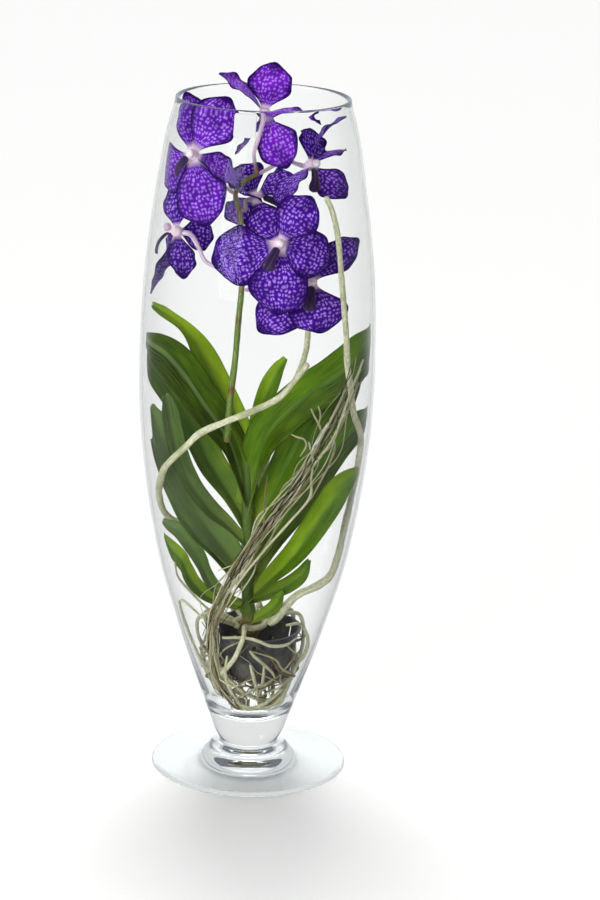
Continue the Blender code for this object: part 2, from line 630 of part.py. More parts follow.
# Roots that spill over the basket: where each leaves the crown (degrees), and the stops that
# it passes, each as its reach from the axis, its height and its swing round the axis.
SPILL_START = 13.5
SPILL_RADIUS = (1.6, 2.4)
SPILL_HEADINGS = (20, 52, 88, 124, 156, 188, 216, 262)
SPILL_STOPS = [(34, 137, 0.05), (47, 132, 0.1), (48, 112, 0.25), (42, 92, 0.55),
               (35, 76, 0.95), (27, 64, 1.5), (18, 57, 2.2), (9, 56, 3.0)]

# The root that runs round the crown and joins the others, between two headings (radians).
RING_FROM_TO = (4.35, 10.25)
RING_RADIUS = 2.6
RING_OVER_CROWN = 4.0


def round_crown(crown, turn):
    """A point on the circle round the crown that the thin roots start from."""
    return crown + np.array([SPILL_START * math.cos(turn), SPILL_START * math.sin(turn),
                             RING_OVER_CROWN])


def bundle_strand(drawn, k, first, last):
    """One strand, with its own place in the bundle's section, wandering a little on its way."""
    turn = 2.4 * k
    across = BUNDLE_SPREAD * math.sqrt((k + 0.4) / len(BUNDLE_STRANDS))
    place = np.array([math.cos(turn), 0.4 * math.sin(turn), math.sin(turn)]) * across
    route = []
    for i in range(first, last):
        share = 0.12 if i == BUNDLE_TIE else 1.0
        wander = [drawn.gauss(0, 1.3), drawn.gauss(0, 0.5), drawn.gauss(0, 1.3)]
        route.append(np.array(BUNDLE_ROUTE[i]) + share * (place + wander))
    return route


def spilled_root(drawn, heading, crown):
    """One root: out over the basket's rim, down beside it and round the well's floor."""
    turn = math.radians(heading + drawn.uniform(-5, 5))
    way = 1 if drawn.random() < 0.6 else -1
    drop = drawn.uniform(-1, 2)
    route = [round_crown(crown, turn)]
    for reach, height, swing in SPILL_STOPS:
        angle = turn + way * swing + drawn.uniform(-0.07, 0.07)
        route.append(np.array([reach * math.cos(angle), reach * math.sin(angle), height + drop]))
    return route


def build_root_mass(finish):
    """All the thin roots, which grow into one another, as one body round the basket."""
    drawn = random.Random(21)
    group = new_group("root_mass_parts")
    crown = stem_point(CROWN_HEIGHT)
    ring = [round_crown(crown, turn) for turn in np.linspace(*RING_FROM_TO, 15)]
    tube("ring_root", ring, [RING_RADIUS, RING_RADIUS], 5, finish, group)
    for k, heading in enumerate(SPILL_HEADINGS):
        radius = drawn.uniform(*SPILL_RADIUS)
        route = smooth_path(spilled_root(drawn, heading, crown), 12)
        route = [inside_glass(p, radius + 0.4) for p in route]
        tube(f"spill_{k}", route, [radius, radius, radius * 0.8], 5, finish, group)
    for k, (first, last) in enumerate(BUNDLE_STRANDS):
        route = smooth_path(bundle_strand(drawn, k, first, last), round(1.1 * (last - first)))
        route = [inside_glass(p, 2.4) for p in route]
        tube(f"strand_{k}", route, STRAND_RADII, 4, finish, group)
    return joined("root_mass", group, finish)


def main():
    for obj in list(bpy.data.objects):
        bpy.data.objects.remove(obj)
    glass = material("clear_glass", (0.93, 0.95, 0.95), 0.03)
    paper = material("label_paper", (0.93, 0.93, 0.91), 0.7)
    plastic = material("black_plastic", (0.03, 0.03, 0.035), 0.45)
    leaf = material("leaf_green", (0.07, 0.17, 0.02), 0.42)
    spike = material("spike_green", (0.10, 0.17, 0.04), 0.5)
    root = material("root_pale", (0.50, 0.52, 0.36), 0.7)
    dry_root = material("root_dry", (0.46, 0.42, 0.28), 0.8)
    petals = {"tepal": material("tepal_violet", (0.13, 0.03, 0.42), 0.45),
              "lip": material("lip_dark", (0.03, 0.004, 0.06), 0.4),
              "column": material("column_pink", (0.80, 0.58, 0.66), 0.5),
              "pedicel": material("pedicel_pale", (0.62, 0.45, 0.55), 0.5)}

    lathe("glass_vase", vase_profile(), VASE_SIDES, glass)
    build_label(paper)
    build_basket(plastic)
    build_leafy_stem(leaf)
    build_spike(spike)
    for index, bloom in enumerate(BLOOMS):
        build_bloom(bloom, index, petals)
    build_aerial_roots(root)
    build_root_mass(dry_root)


main()
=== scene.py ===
# %% [markdown]
# # A vanda orchid in a tall glass vase
# The plant stands bare-rooted in a small net basket at the bottom of a footed glass vase. Its
# strap leaves fan out against the glass, pale aerial roots run up between them, and seven
# violet blooms fill the top. The CAD model fixes every place and size. This lesson gives each
# CAD piece a finer mesh with the same form, and then the surface that the real thing has.

import collections
import math
import random

import bpy
import numpy as np
from mathutils import Matrix, Vector


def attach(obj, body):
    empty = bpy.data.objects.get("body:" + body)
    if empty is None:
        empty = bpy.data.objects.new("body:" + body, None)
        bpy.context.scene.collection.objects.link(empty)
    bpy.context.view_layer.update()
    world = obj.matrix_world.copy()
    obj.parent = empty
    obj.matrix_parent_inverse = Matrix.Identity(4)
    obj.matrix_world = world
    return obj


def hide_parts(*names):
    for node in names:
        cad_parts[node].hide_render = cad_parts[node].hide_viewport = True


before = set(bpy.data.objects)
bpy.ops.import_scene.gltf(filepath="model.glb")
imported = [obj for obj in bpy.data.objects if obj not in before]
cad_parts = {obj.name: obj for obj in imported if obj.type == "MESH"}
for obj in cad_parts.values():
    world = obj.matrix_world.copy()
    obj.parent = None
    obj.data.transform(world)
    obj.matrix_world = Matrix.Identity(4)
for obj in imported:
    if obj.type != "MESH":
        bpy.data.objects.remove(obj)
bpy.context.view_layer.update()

# %% [markdown]
# ## Small helpers for colours, nodes and meshes
# Routes and sections are written in millimetres, as a maker would measure them, and turn into
# metres only when a mesh is made. Colours are written as the sRGB hex values that a paint
# program shows, while shaders add light up in linear numbers, so one function converts them.

# %% Colours and shader nodes
MM = 0.001


def linear(hex_code):
    """The linear colour of an sRGB hex code."""
    parts = [int(hex_code[i:i + 2], 16) / 255 for i in (1, 3, 5)]
    return (*[c / 12.92 if c <= 0.04045 else ((c + 0.055) / 1.055) ** 2.4 for c in parts], 1.0)


# A number kept on a mesh, which add_node reads with attribute_name.
FACTOR = {"kind": "ShaderNodeAttribute", "output": "Fac"}


def add_node(tree, kind, inputs=None, output=0, **settings):
    """Adds a node with its settings and inputs, and gives back one of its outputs.

    An input's key and the output are a socket's name, or its number among the sockets in use.
    """
    made = tree.nodes.new(kind)
    for name, setting in settings.items():
        setattr(made, name, setting)
    used = [socket for socket in made.inputs if socket.enabled]
    for key, given in (inputs or {}).items():
        socket = used[key] if isinstance(key, int) else next(s for s in used if s.name == key)
        if isinstance(given, bpy.types.NodeSocket):
            tree.links.new(given, socket)
        else:
            socket.default_value = given
    shown = [socket for socket in made.outputs if socket.enabled]
    return shown[output] if isinstance(output, int) else made.outputs[output]


def new_material(name, roughness, **settings):
    """A material, its node tree, and its Principled shader with plain settings."""
    material = bpy.data.materials.new(name)
    print("material", name, "with a roughness of", roughness)
    material.use_nodes = True
    tree = material.node_tree
    shader = tree.nodes["Principled BSDF"]
    shader.inputs["Roughness"].default_value = roughness
    for key, value in settings.items():
        shader.inputs[key.replace("_", " ")].default_value = value
    return material, tree, shader


# %% Meshes that carry numbers for their materials
def mesh_piece(name, points, faces, material, values=None):
    """A smooth object from points in millimetres, with the numbers its material reads."""
    mesh = bpy.data.meshes.new(name)
    mesh.from_pydata((np.asarray(points, float) * MM).tolist(), [], faces)
    for key, numbers in (values or {}).items():
        layer = mesh.attributes.new(key, "FLOAT", "POINT")
        layer.data.foreach_set("value", np.asarray(numbers, np.float32).ravel())
    mesh.shade_smooth()
    mesh.materials.append(material)
    piece = bpy.data.objects.new(name, mesh)
    bpy.context.scene.collection.objects.link(piece)
    return piece


def gathered(parts):
    """One list of points, faces and values from several."""
    points, faces, values = [], [], collections.defaultdict(list)
    start = 0
    for part_points, part_faces, part_values in parts:
        points.append(part_points)
        faces += [tuple(start + k for k in face) for face in part_faces]
        for key, numbers in part_values.items():
            values[key].append(np.broadcast_to(numbers, len(part_points)))
        start += len(part_points)
    return np.vstack(points), faces, {key: np.concatenate(v) for key, v in values.items()}


def stand_for(piece, slot, *nodes):
    """The piece rides with the object and hides the CAD nodes. The slot is not used."""
    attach(piece, "root")
    if nodes:
        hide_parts(*nodes)
    print(piece.name, "has", len(piece.data.polygons), "faces")


# %% Curves shared with the CAD model
def smooth_path(points, count):
    """A Catmull-Rom curve through the points, as count points evenly spaced along it."""
    p = np.array(points, float)
    p = np.vstack([2 * p[0] - p[1], p, 2 * p[-1] - p[-2]])
    fine = []
    for i in range(1, len(p) - 2):
        for t in np.linspace(0, 1, 16, endpoint=False):
            a, b, c, d = p[i - 1:i + 3]
            fine.append(0.5 * (2 * b + (c - a) * t + (2 * a - 5 * b + 4 * c - d) * t * t
                               + (3 * b - a - 3 * c + d) * t ** 3))
    fine = np.array(fine + [p[-2]])
    run = np.concatenate([[0], np.cumsum(np.linalg.norm(np.diff(fine, axis=0), axis=1))])
    at = np.linspace(0, run[-1], count)
    return np.stack([np.interp(at, run, fine[:, k]) for k in range(fine.shape[1])], 1)


def smoothstep(low, high, x):
    """0 below low, 1 above high, and an even S-shaped rise between them."""
    t = np.clip((np.asarray(x, float) - low) / (high - low), 0, 1)
    return t * t * (3 - 2 * t)


def unit(v):
    """The vector, made 1 long."""
    v = np.asarray(v, float)
    return v / np.linalg.norm(v)


# %% [markdown]
# ## The camera
# The photo looks down at the vase by about 16 degrees from some 2.4 m away. The lens is long,
# so the vase's sides stay nearly parallel. The sensor is fitted to the picture's height, so the
# framing doesn't depend on the render's width.

# %% Camera at the photo's angle
CAMERA_AT = (0.0, -2.395, 0.996)
CAMERA_PITCH, CAMERA_YAW, CAMERA_ROLL = 16.40, 0.930, 1.630
LENS_MM = 114.65

camera = bpy.data.objects.new("camera", bpy.data.cameras.new("camera"))
camera.data.lens = LENS_MM
camera.data.sensor_fit = "VERTICAL"
camera.data.sensor_height = 36
aim = (Matrix.Rotation(math.radians(-CAMERA_YAW), 4, "Z")
       @ Matrix.Rotation(math.radians(90 - CAMERA_PITCH), 4, "X")
       @ Matrix.Rotation(math.radians(CAMERA_ROLL), 4, "Z"))
camera.matrix_world = Matrix.Translation(CAMERA_AT) @ aim
camera.data.clip_end = 100
bpy.context.scene.collection.objects.link(camera)
bpy.context.scene.camera = camera
print("camera at", CAMERA_AT, "with a lens of", LENS_MM, "mm")

# %% [markdown]
# ## The glass vase
# The real vase is blown soda-lime glass, with a pressed foot joined on by a short collar. Its
# wall thickens downwards and rounds into a well. It is a body of revolution, so one section
# turned about the axis makes it. Both faces of the wall are modelled, because light bends at
# each of them, and the thick bottom gets its arcs from that.

# %% The vase's outline, from the CAD model's numbers
VASE_HEIGHT = 600.0
VASE_OUTSIDE = [(24.0, 20.0), (30.3, 31.0), (35.3, 45.0), (47.7, 80.0), (66.1, 135.0),
                (86.3, 210.0), (100.7, 320.0), (99.3, 440.0), (85.2, 550.0), (74.0, 598.4)]
VASE_FOOT = [(0, 1.8), (20, 1.75), (35, 1.6), (48, 1.3), (58, 0.9), (67, 0.45), (75, 0.1),
             (79, 0), (84.4, 0), (85.5, 0.15), (86.2, 0.55), (86.4, 1.0), (86.2, 1.4),
             (85.3, 1.7), (80, 2.2), (74, 2.8), (68, 3.5), (62, 4.3), (56, 5.2), (50, 6.2),
             (45, 7.4), (41, 8.8), (38.2, 10.8), (36.2, 13.2), (34.8, 15.8), (33.6, 17.6),
             (31, 19.0), (27, 19.9)]
WALL = 3.0
WALL_EXTRA_LOW = 4.0
WALL_FADE = 26.0
WELL_FLOOR = 47.0
WELL_TOP = 68.0
WELL_ROUND = 2.2
OUTSIDE_CURVE = smooth_path(VASE_OUTSIDE, 160)


def glass_outside(z):
    """Outside radius of the glass at a height above the foot."""
    return float(np.interp(z, OUTSIDE_CURVE[:, 1], OUTSIDE_CURVE[:, 0]))


def glass_inside(z):
    """Inside radius of the glass: the wall thickens downwards and rounds into the well."""
    z = max(z, WELL_FLOOR)
    over = max(z, WELL_TOP)
    extra = WALL_EXTRA_LOW * math.exp((WELL_FLOOR - over) / WALL_FADE)
    rise = min(1.0, (z - WELL_FLOOR) / (WELL_TOP - WELL_FLOOR))
    return ((glass_outside(over) - WALL - extra)
            * math.sqrt(max(0.0, 1 - (1 - rise) ** WELL_ROUND)))


# %% Keeping a piece inside the glass
FREE_ABOVE_RIM = 6.0
PRESSED_FROM = 0.9
WELL_SLACK = 1.6
WELL_SLACK_FADES = (55, 75)


def inside_glass(point, clear):
    """The point, pulled in so that it stays clear of the glass, as a petal pressed on it."""
    x, y, z = point
    if z > VASE_HEIGHT + FREE_ABOVE_RIM:
        return np.array(point)
    limit = (glass_inside(min(z, VASE_HEIGHT)) - clear
             - WELL_SLACK * (1 - float(smoothstep(*WELL_SLACK_FADES, z))))
    reach = math.hypot(x, y)
    soft = PRESSED_FROM * limit
    if reach <= soft:
        return np.array(point)
    held = soft + (limit - soft) * math.tanh((reach - soft) / (limit - soft))
    return np.array([x * held / reach, y * held / reach, z])


# %% The vase's mesh
VASE_SIDES = 160
RIM_UNDER = 597.0
RIM_MIDDLE = 598.4
RIM_STRETCH = 1.05
WALL_FROM = 597.5


def vase_section():
    """Radius and height all round the glass: underside, foot, body, rim, wall and well."""
    rim_middle, rim_half = glass_outside(RIM_UNDER) - WALL / 2, WALL / 2
    rim = [(rim_middle + rim_half * math.cos(a), RIM_MIDDLE + rim_half * RIM_STRETCH * math.sin(a))
           for a in np.linspace(0.25, math.pi - 0.25, 7)]
    wall = [(glass_inside(z), z) for z in np.linspace(WALL_FROM, WELL_TOP, 90)]
    rises = [1 - s for s in np.linspace(0, 1, 26) ** 0.5][1:-1]
    heights = [WELL_FLOOR + (WELL_TOP - WELL_FLOOR) * rise for rise in rises]
    well = [(glass_inside(z), z) for z in heights]
    body = [tuple(p) for p in OUTSIDE_CURVE[:-1]]
    return VASE_FOOT + body + rim + wall + well + [(0, WELL_FLOOR)]


def turned(section, sides):
    """Points and faces of a section turned about the Z axis, closed where it meets it."""
    points, rings, faces = [], [], []
    turns = np.linspace(0, 2 * math.pi, sides, endpoint=False)
    for radius, height in section:
        first = len(points)
        if radius < 0.01:
            points.append((0, 0, height))
            rings.append([first] * sides)
        else:
            points += [(radius * math.cos(t), radius * math.sin(t), height) for t in turns]
            rings.append(list(range(first, first + sides)))
    for low, high in zip(rings, rings[1:]):
        for k in range(sides):
            j = (k + 1) % sides
            faces.append(tuple(dict.fromkeys((low[k], low[j], high[j], high[k]))))
    return points, faces


# %% [markdown]
# ### Glass
# Soda-lime glass has an index of refraction of 1.52 and is fire-polished, so its roughness is
# nearly nothing. Rays from lamps to what stands behind the glass go straight through with a
# slight loss, which is what makes the vase's soft pale shadow. A long slow ripple keeps the
# reflections from looking drawn with a compass. Seen face on, the glass keeps only an eighth of
# its mirroring, as where dark screens stand beside a studio's table. In the thick foot and
# bottom, light is mirrored again and again. A renderer stops after a few times and leaves black
# there, while real glass shows a blend of the whole room. So from the third mirroring on it
# glows in that blend's colour: nearly white low down, where the table lies close, and greyer
# above. That glow lights nothing.

# %% Glass material
MIRRORING_LEFT = (0.12, 0.12, 0.12, 1.0)
TRAPPED_AFTER = 2.5
LOW_UNTIL, HIGH_FROM = 8 * MM, 30 * MM

glass, tree, shader = new_material("soda_lime_glass", 0.0, IOR=1.52, Transmission_Weight=1.0)
shader.inputs["Specular Tint"].default_value = MIRRORING_LEFT
shader.inputs["Base Color"].default_value = linear("#FBFCFC")
place = add_node(tree, "ShaderNodeTexCoord", output="Object")
# The ripple's swells are about 45 mm apart and less than 0.1 mm high.
slow = add_node(tree, "ShaderNodeTexNoise", {"Vector": place, "Scale": 22.0, "Detail": 0.0})
ripple = add_node(tree, "ShaderNodeBump", {"Height": slow, "Strength": 0.05, "Distance": 0.002})
tree.links.new(ripple, shader.inputs["Normal"])
shadow_ray = add_node(tree, "ShaderNodeLightPath", output="Is Shadow Ray")
passing = add_node(tree, "ShaderNodeBsdfTransparent", {"Color": linear("#C8CBCB")})
surface = add_node(tree, "ShaderNodeMixShader",
                   {0: shadow_ray, 1: shader.outputs["BSDF"], 2: passing})
bounced = add_node(tree, "ShaderNodeLightPath", output="Glossy Depth")
trapped = add_node(tree, "ShaderNodeMath", {0: bounced, 1: TRAPPED_AFTER},
                   operation="GREATER_THAN")
level = add_node(tree, "ShaderNodeSeparateXYZ", {0: place}, output="Z")
level = add_node(tree, "ShaderNodeMapRange", {"Value": level, "From Min": LOW_UNTIL,
                                              "From Max": HIGH_FROM})
mean_room = add_node(tree, "ShaderNodeMix", {"Factor": level, "A": linear("#DADDDD"),
                                             "B": linear("#727A80")}, data_type="RGBA")
mean_room = add_node(tree, "ShaderNodeEmission", {"Color": mean_room})
surface = add_node(tree, "ShaderNodeMixShader", {0: trapped, 1: surface, 2: mean_room})
tree.links.new(surface, tree.nodes["Material Output"].inputs["Surface"])
glass.cycles.emission_sampling = "NONE"

# %% The vase
vase = mesh_piece("glass_vase_clear", *turned(vase_section(), VASE_SIDES), glass)
stand_for(vase, "clear_glass", "glass_vase")

# %% [markdown]
# ## The label
# A small white paper label is stuck on the outside, under the rim. It has no print. It is one
# thin sheet that follows the curve of the glass, with its corners rounded by the die that cut
# it, and its fibres show as a faint mottle.

# %% The label's size, and its paper
LABEL_SIZE = (18.5, 19.0)
LABEL_TOP = 597.6
LABEL_TURN = -101.0
LABEL_THICK = 0.6
LABEL_GAP = 0.45
LABEL_CORNER = 1.6
LABEL_ACROSS, LABEL_UP = 24, 30

paper, tree, shader = new_material("uncoated_label_paper", 0.75, IOR=1.5)
place = add_node(tree, "ShaderNodeTexCoord", output="Object")
# Clumps of fibres about 1 mm across, coarser than real ones so that they show.
fibres = add_node(tree, "ShaderNodeTexNoise", {"Vector": place, "Scale": 900.0, "Detail": 4.0})
tint = add_node(tree, "ShaderNodeMix", {"Factor": fibres, "A": linear("#CDCED0"),
                                        "B": linear("#DCDDDF")}, data_type="RGBA")
tree.links.new(tint, shader.inputs["Base Color"])
fuzz = add_node(tree, "ShaderNodeBump", {"Height": fibres, "Strength": 0.2, "Distance": 0.0001})
tree.links.new(fuzz, shader.inputs["Normal"])


# %% The label
def label_grid(offset):
    """Points of one face of the label, at an offset from the glass, its corners rounded."""
    width, tall = LABEL_SIZE
    points = []
    for i in range(LABEL_UP + 1):
        up = tall * (i / LABEL_UP - 0.5)
        over = max(0.0, abs(up) - (tall / 2 - LABEL_CORNER))
        half = width / 2 - LABEL_CORNER + math.sqrt(max(0.0, LABEL_CORNER ** 2 - over ** 2))
        z = LABEL_TOP - tall / 2 + up
        radius = glass_outside(z) + offset
        for j in range(LABEL_ACROSS + 1):
            turn = math.radians(LABEL_TURN) + half * (2 * j / LABEL_ACROSS - 1) / radius
            points.append((radius * math.cos(turn), radius * math.sin(turn), z))
    return np.array(points)


def closed_slab(front, back, rows, columns):
    """Points and faces of a thin slab between two grids with rows x columns points each."""
    count, faces = rows * columns, []
    for i in range(rows - 1):
        for j in range(columns - 1):
            a = i * columns + j
            quad = (a, a + 1, a + columns + 1, a + columns)
            faces.append(quad)
            faces.append(tuple(count + k for k in quad[::-1]))
    edge = (list(range(columns)) + [i * columns + columns - 1 for i in range(1, rows)]
            + [(rows - 1) * columns + j for j in range(columns - 2, -1, -1)]
            + [i * columns for i in range(rows - 2, 0, -1)])
    for a, b in zip(edge, edge[1:] + edge[:1]):
        faces.append((b, a, count + a, count + b))
    return np.vstack([front, back]), faces


label_parts = closed_slab(label_grid(LABEL_GAP + LABEL_THICK), label_grid(LABEL_GAP),
                          LABEL_UP + 1, LABEL_ACROSS + 1)
label = mesh_piece("paper_label_blank", *label_parts, paper)
stand_for(label, "label_paper", "paper_label")

# %% [markdown]
# ## The net basket
# Orchids like this one are raised in a small slotted cup, injection-moulded in black plastic.
# It is modelled as a thin sheet with its slots left out, which Solidify makes 1.6 mm thick, and
# a small bevel rounds the moulded edges. Moulded plastic is dull, and roots have left it dusty.

# %% The basket's sizes, from the CAD model's numbers
BASKET_CENTRE = (3.0, 0.0)
BASKET_TOP = 127.8
BASKET_FLOOR = 87.0
BASKET_RADII = (32.0, 39.0)
BASKET_RIM = 41.5
BASKET_WALL = 1.6
BASKET_HOLE = 14.0
BASKET_SLOTS = 12
SLOT_WIDTH = 3.4
SLOTS_LOW = (93.0, 107.0)
SLOTS_HIGH = (112.0, 123.0)
BASKET_FACETS = 6
LOW_SLOT_RING, HIGH_SLOT_RING = 4, 6

# %% Plastic material
plastic, tree, shader = new_material("black_moulded_polypropylene", 0.45, IOR=1.49)
place = add_node(tree, "ShaderNodeTexCoord", output="Object")
# Dust lies in patches some 17 mm across. The mould's grain is drawn 0.7 mm wide.
dust = add_node(tree, "ShaderNodeTexNoise", {"Vector": place, "Scale": 60.0, "Detail": 5.0,
                                             "Roughness": 0.65})
dust = add_node(tree, "ShaderNodeMapRange", {"Value": dust, "From Min": 0.42, "From Max": 0.78})
tint = add_node(tree, "ShaderNodeMix", {"Factor": dust, "A": linear("#3D3D41"),
                                        "B": linear("#77746B")}, data_type="RGBA")
tree.links.new(tint, shader.inputs["Base Color"])
dull = add_node(tree, "ShaderNodeMapRange", {"Value": dust, "To Min": 0.38, "To Max": 0.8})
tree.links.new(dull, shader.inputs["Roughness"])
grain = add_node(tree, "ShaderNodeTexNoise", {"Vector": place, "Scale": 1400.0, "Detail": 2.0})
moulded = add_node(tree, "ShaderNodeBump", {"Height": grain, "Strength": 0.25,
                                            "Distance": 0.0001})
tree.links.new(moulded, shader.inputs["Normal"])


# %% The basket
def basket_sheet():
    """The cup's sheet, ring by ring, with its low and high slots left out."""
    low, high = BASKET_RADII
    rings = [(BASKET_HOLE, BASKET_FLOOR), ((BASKET_HOLE + low) / 2, BASKET_FLOOR),
             (low - 1.2, BASKET_FLOOR), (low, BASKET_FLOOR + 0.8)]
    for z in (*SLOTS_LOW, *SLOTS_HIGH, BASKET_TOP - 1.0):
        share = (z - BASKET_FLOOR) / (BASKET_TOP - BASKET_FLOOR)
        rings.append((low + (high - low) * share, z))
    rings += [(high + 0.8, BASKET_TOP), (BASKET_RIM, BASKET_TOP)]
    turns = []
    for k in range(BASKET_SLOTS):
        middle = 2 * math.pi * k / BASKET_SLOTS
        half = SLOT_WIDTH / 2 / high
        gap = 2 * math.pi / BASKET_SLOTS - 2 * half
        turns += [middle - half, middle + half]
        turns += [middle + half + gap * s / BASKET_FACETS for s in range(1, BASKET_FACETS)]
    n, step = len(turns), BASKET_FACETS + 1
    points = [(BASKET_CENTRE[0] + r * math.cos(t), BASKET_CENTRE[1] + r * math.sin(t), z)
              for r, z in rings for t in turns]
    faces = []
    for i in range(len(rings) - 1):
        for k in range(n):
            slot_number, is_slot = divmod(k, step)
            slot_ring = HIGH_SLOT_RING if slot_number % 2 else LOW_SLOT_RING
            if is_slot == 0 and i == slot_ring:
                continue
            j = (k + 1) % n
            faces.append((i * n + k, i * n + j, (i + 1) * n + j, (i + 1) * n + k))
    faces.append(tuple(range(n))[::-1])
    return points, faces


basket = mesh_piece("net_basket_moulded", *basket_sheet(), plastic)
wall = basket.modifiers.new("wall", "SOLIDIFY")
wall.thickness = BASKET_WALL * MM
wall.offset = 0.0
wall.use_even_offset = True
edges = basket.modifiers.new("moulded_edges", "BEVEL")
edges.width = 0.3 * MM
edges.segments = 2
edges.angle_limit = math.radians(40)
edges.harden_normals = True
stand_for(basket, "black_plastic", "net_basket")

# %% [markdown]
# ## Leaves
# A vanda's leaves are stiff straps in two ranks, folded along the midrib where they clasp the
# stem and opening towards a tip that looks bitten off. Each is a grid laid along its midrib's
# curve. Leaf tissue is thickest at the midrib and thins to the margin, so the thickness follows
# the place across the leaf.

# %% A blade: a curved grid with a thickness
def blade(rows, thickness, values):
    """Points, faces and values of a closed blade, thick / 2 each side of its rows of points."""
    along = np.gradient(rows, axis=0)
    across = np.gradient(rows, axis=1)
    normal = np.cross(along, across)
    length = np.linalg.norm(normal, axis=2, keepdims=True)
    normal = normal / np.maximum(length, 1e-9)
    half = np.broadcast_to(np.asarray(thickness, float) / 2, rows.shape[:2])[..., None]
    front, back = rows + normal * half, rows - normal * half
    points, faces = closed_slab(front.reshape(-1, 3), back.reshape(-1, 3), *rows.shape[:2])
    both = {key: np.tile(np.broadcast_to(v, rows.shape[:2]).ravel(), 2)
            for key, v in values.items()}
    return points, faces, both


# %% The leaves' places, from the CAD model's numbers
LEAF_THICK = 1.4
LEAF_FOLD = (54.0, 78.0)
LEAF_CLASP = 0.80
TIP_NOTCH = 0.30

# Each leaf has its midrib's points, width, turn of its upper face at the base and at the tip
# (degrees), how far it stays off the glass, and its taper. Then its looks: its painted light, as
# bright as the light behind makes it, its painted reflection, as grey as the glass in front makes
# it, and how pale its midrib is.
Leaf = collections.namedtuple("Leaf", "midrib width turn_base turn_tip clear taper light grey rib",
                              defaults=[0.12])
LEAVES = [
    Leaf([(-5, 8, 280), (-15, 11, 307), (-29, 14, 334), (-42, 15, 360), (-53, 14, 381),
          (-64, 11, 396), (-77, 6, 407), (-92, 0, 418)], 25, 40, 66, 1.8, (0.50, 0.85, 0.22),
         0.8, 0.0, 0.1),
    Leaf([(-7, 4, 241), (-20, 2, 289), (-34, -3, 315), (-47, -8, 335), (-60, -13, 356),
          (-75, -18, 376), (-88, -21, 387), (-101, -22, 393)], 35, 40, 80, 1.5,
         (0.74, 1.0, 0.45), 0.0, 0.0, 0.5),
    Leaf([(-7, 6, 220), (-22, 8, 248), (-39, 10, 274), (-50, 10, 298), (-62, 9, 322),
          (-76, 6, 344), (-90, 1, 361), (-105, -4, 377)], 29, 40, 74, 3.4, (0.75, 1.0, 0.55),
         0.45, 0.3),
    Leaf([(-8, -4, 206), (-24, -10, 225), (-40, -15, 242), (-54, -20, 263), (-64, -24, 287),
          (-71, -27, 314), (-77, -30, 346)], 18, 50, 80, 6.0, (0.85, 1.0, 0.6), 0.12, 0.45),
    Leaf([(-6, -4, 170), (-27, -10, 205), (-46, -15, 232), (-61, -20, 261), (-72, -24, 286),
          (-80, -28, 310), (-92, -33, 336)], 32, 55, 82, 2.4, (0.72, 1.0, 0.42), 0.3, 0.75),
    Leaf([(-4, 0, 157), (-22, -4, 182), (-35, -7, 202), (-48, -10, 218), (-59, -13, 236),
          (-68, -16, 257), (-77, -19, 280), (-90, -24, 305)], 20, 40, 78, 2.2,
         (0.72, 1.0, 0.5), 0.4, 0.5),
    Leaf([(-4, -4, 144), (-24, -10, 152), (-40, -15, 161), (-51, -19, 173), (-57, -22, 185),
          (-62, -26, 197), (-70, -29, 208), (-81, -33, 221)], 15, 30, 74, 2.4,
         (0.70, 1.0, 0.5), 0.72, 0.1),
    Leaf([(-4, 0, 146), (-18, -3, 151), (-31, -6, 162), (-40, -9, 176), (-46, -12, 192),
          (-54, -15, 207), (-64, -17, 220), (-79, -20, 230)], 15, 30, 76, 3.0,
         (0.70, 1.0, 0.5), 0.4, 0.7),
    Leaf([(-5, 10, 267), (-1, 18, 298), (7, 22, 331), (16, 22, 354), (24, 20, 368)],
         17, 50, 80, 3.0, (0.70, 1.0, 0.38), 0.62, 0.0, 0.1),
    Leaf([(-5, 2, 238), (6, -2, 295), (22, -6, 321), (44, -10, 344), (65, -13, 360),
          (80, -14, 374), (90, -13, 388), (106, -8, 403)], 37, 55, 82, 1.5, (0.76, 1.0, 0.42),
         0.32, 0.0, 0.15),
    Leaf([(-4, 4, 203), (8, 5, 231), (21, 6, 261), (33, 7, 289), (45, 8, 314), (58, 8, 333),
          (72, 8, 348), (88, 6, 361), (111, 3, 369)], 29, 50, 80, 1.6, (0.60, 0.88, 0.28),
         0.5, 0.0),
    Leaf([(-3, 8, 184), (13, 12, 206), (27, 15, 229), (43, 18, 256), (57, 19, 279),
          (68, 18, 298), (76, 16, 317), (83, 13, 336), (92, 9, 358)], 18, 30, 70, 4.0,
         (0.70, 1.0, 0.38), 0.35, 0.2),
    Leaf([(-3, 2, 170), (9, 5, 188), (24, 6, 215), (39, 6, 239), (52, 5, 261), (64, 3, 282),
          (76, 0, 301), (89, -4, 316), (108, -9, 330)], 26, 45, 80, 1.8, (0.78, 1.0, 0.6),
         0.15, 0.1),
    Leaf([(-2, -4, 154), (21, -15, 182), (37, -21, 203), (50, -25, 225), (61, -28, 245),
          (71, -30, 263), (82, -31, 275), (99, -29, 281)], 24, 45, 78, 2.4, (0.72, 1.0, 0.5),
         0.58, 0.0, 0.15),
    Leaf([(-2, -2, 146), (4, -6, 154), (17, -10, 163), (32, -14, 172), (43, -18, 183),
          (49, -20, 197)], 15, 30, 70, 3.0, (0.70, 1.0, 0.38), 0.5, 0.1),
    Leaf([(-2, -6, 132), (10, -12, 143), (20, -16, 153), (27, -18, 167)], 12, 40, 70, 3.0,
         (0.70, 1.0, 0.38), 0.55, 0.0),
]


# %% The outline of a leaf
LEAF_ROWS, LEAF_COLUMNS = 64, 20
GROOVE = 0.16
LEAF_WAVE = 0.02
TIP_ROUNDED = 0.3
TIP_TAPER = 0.82


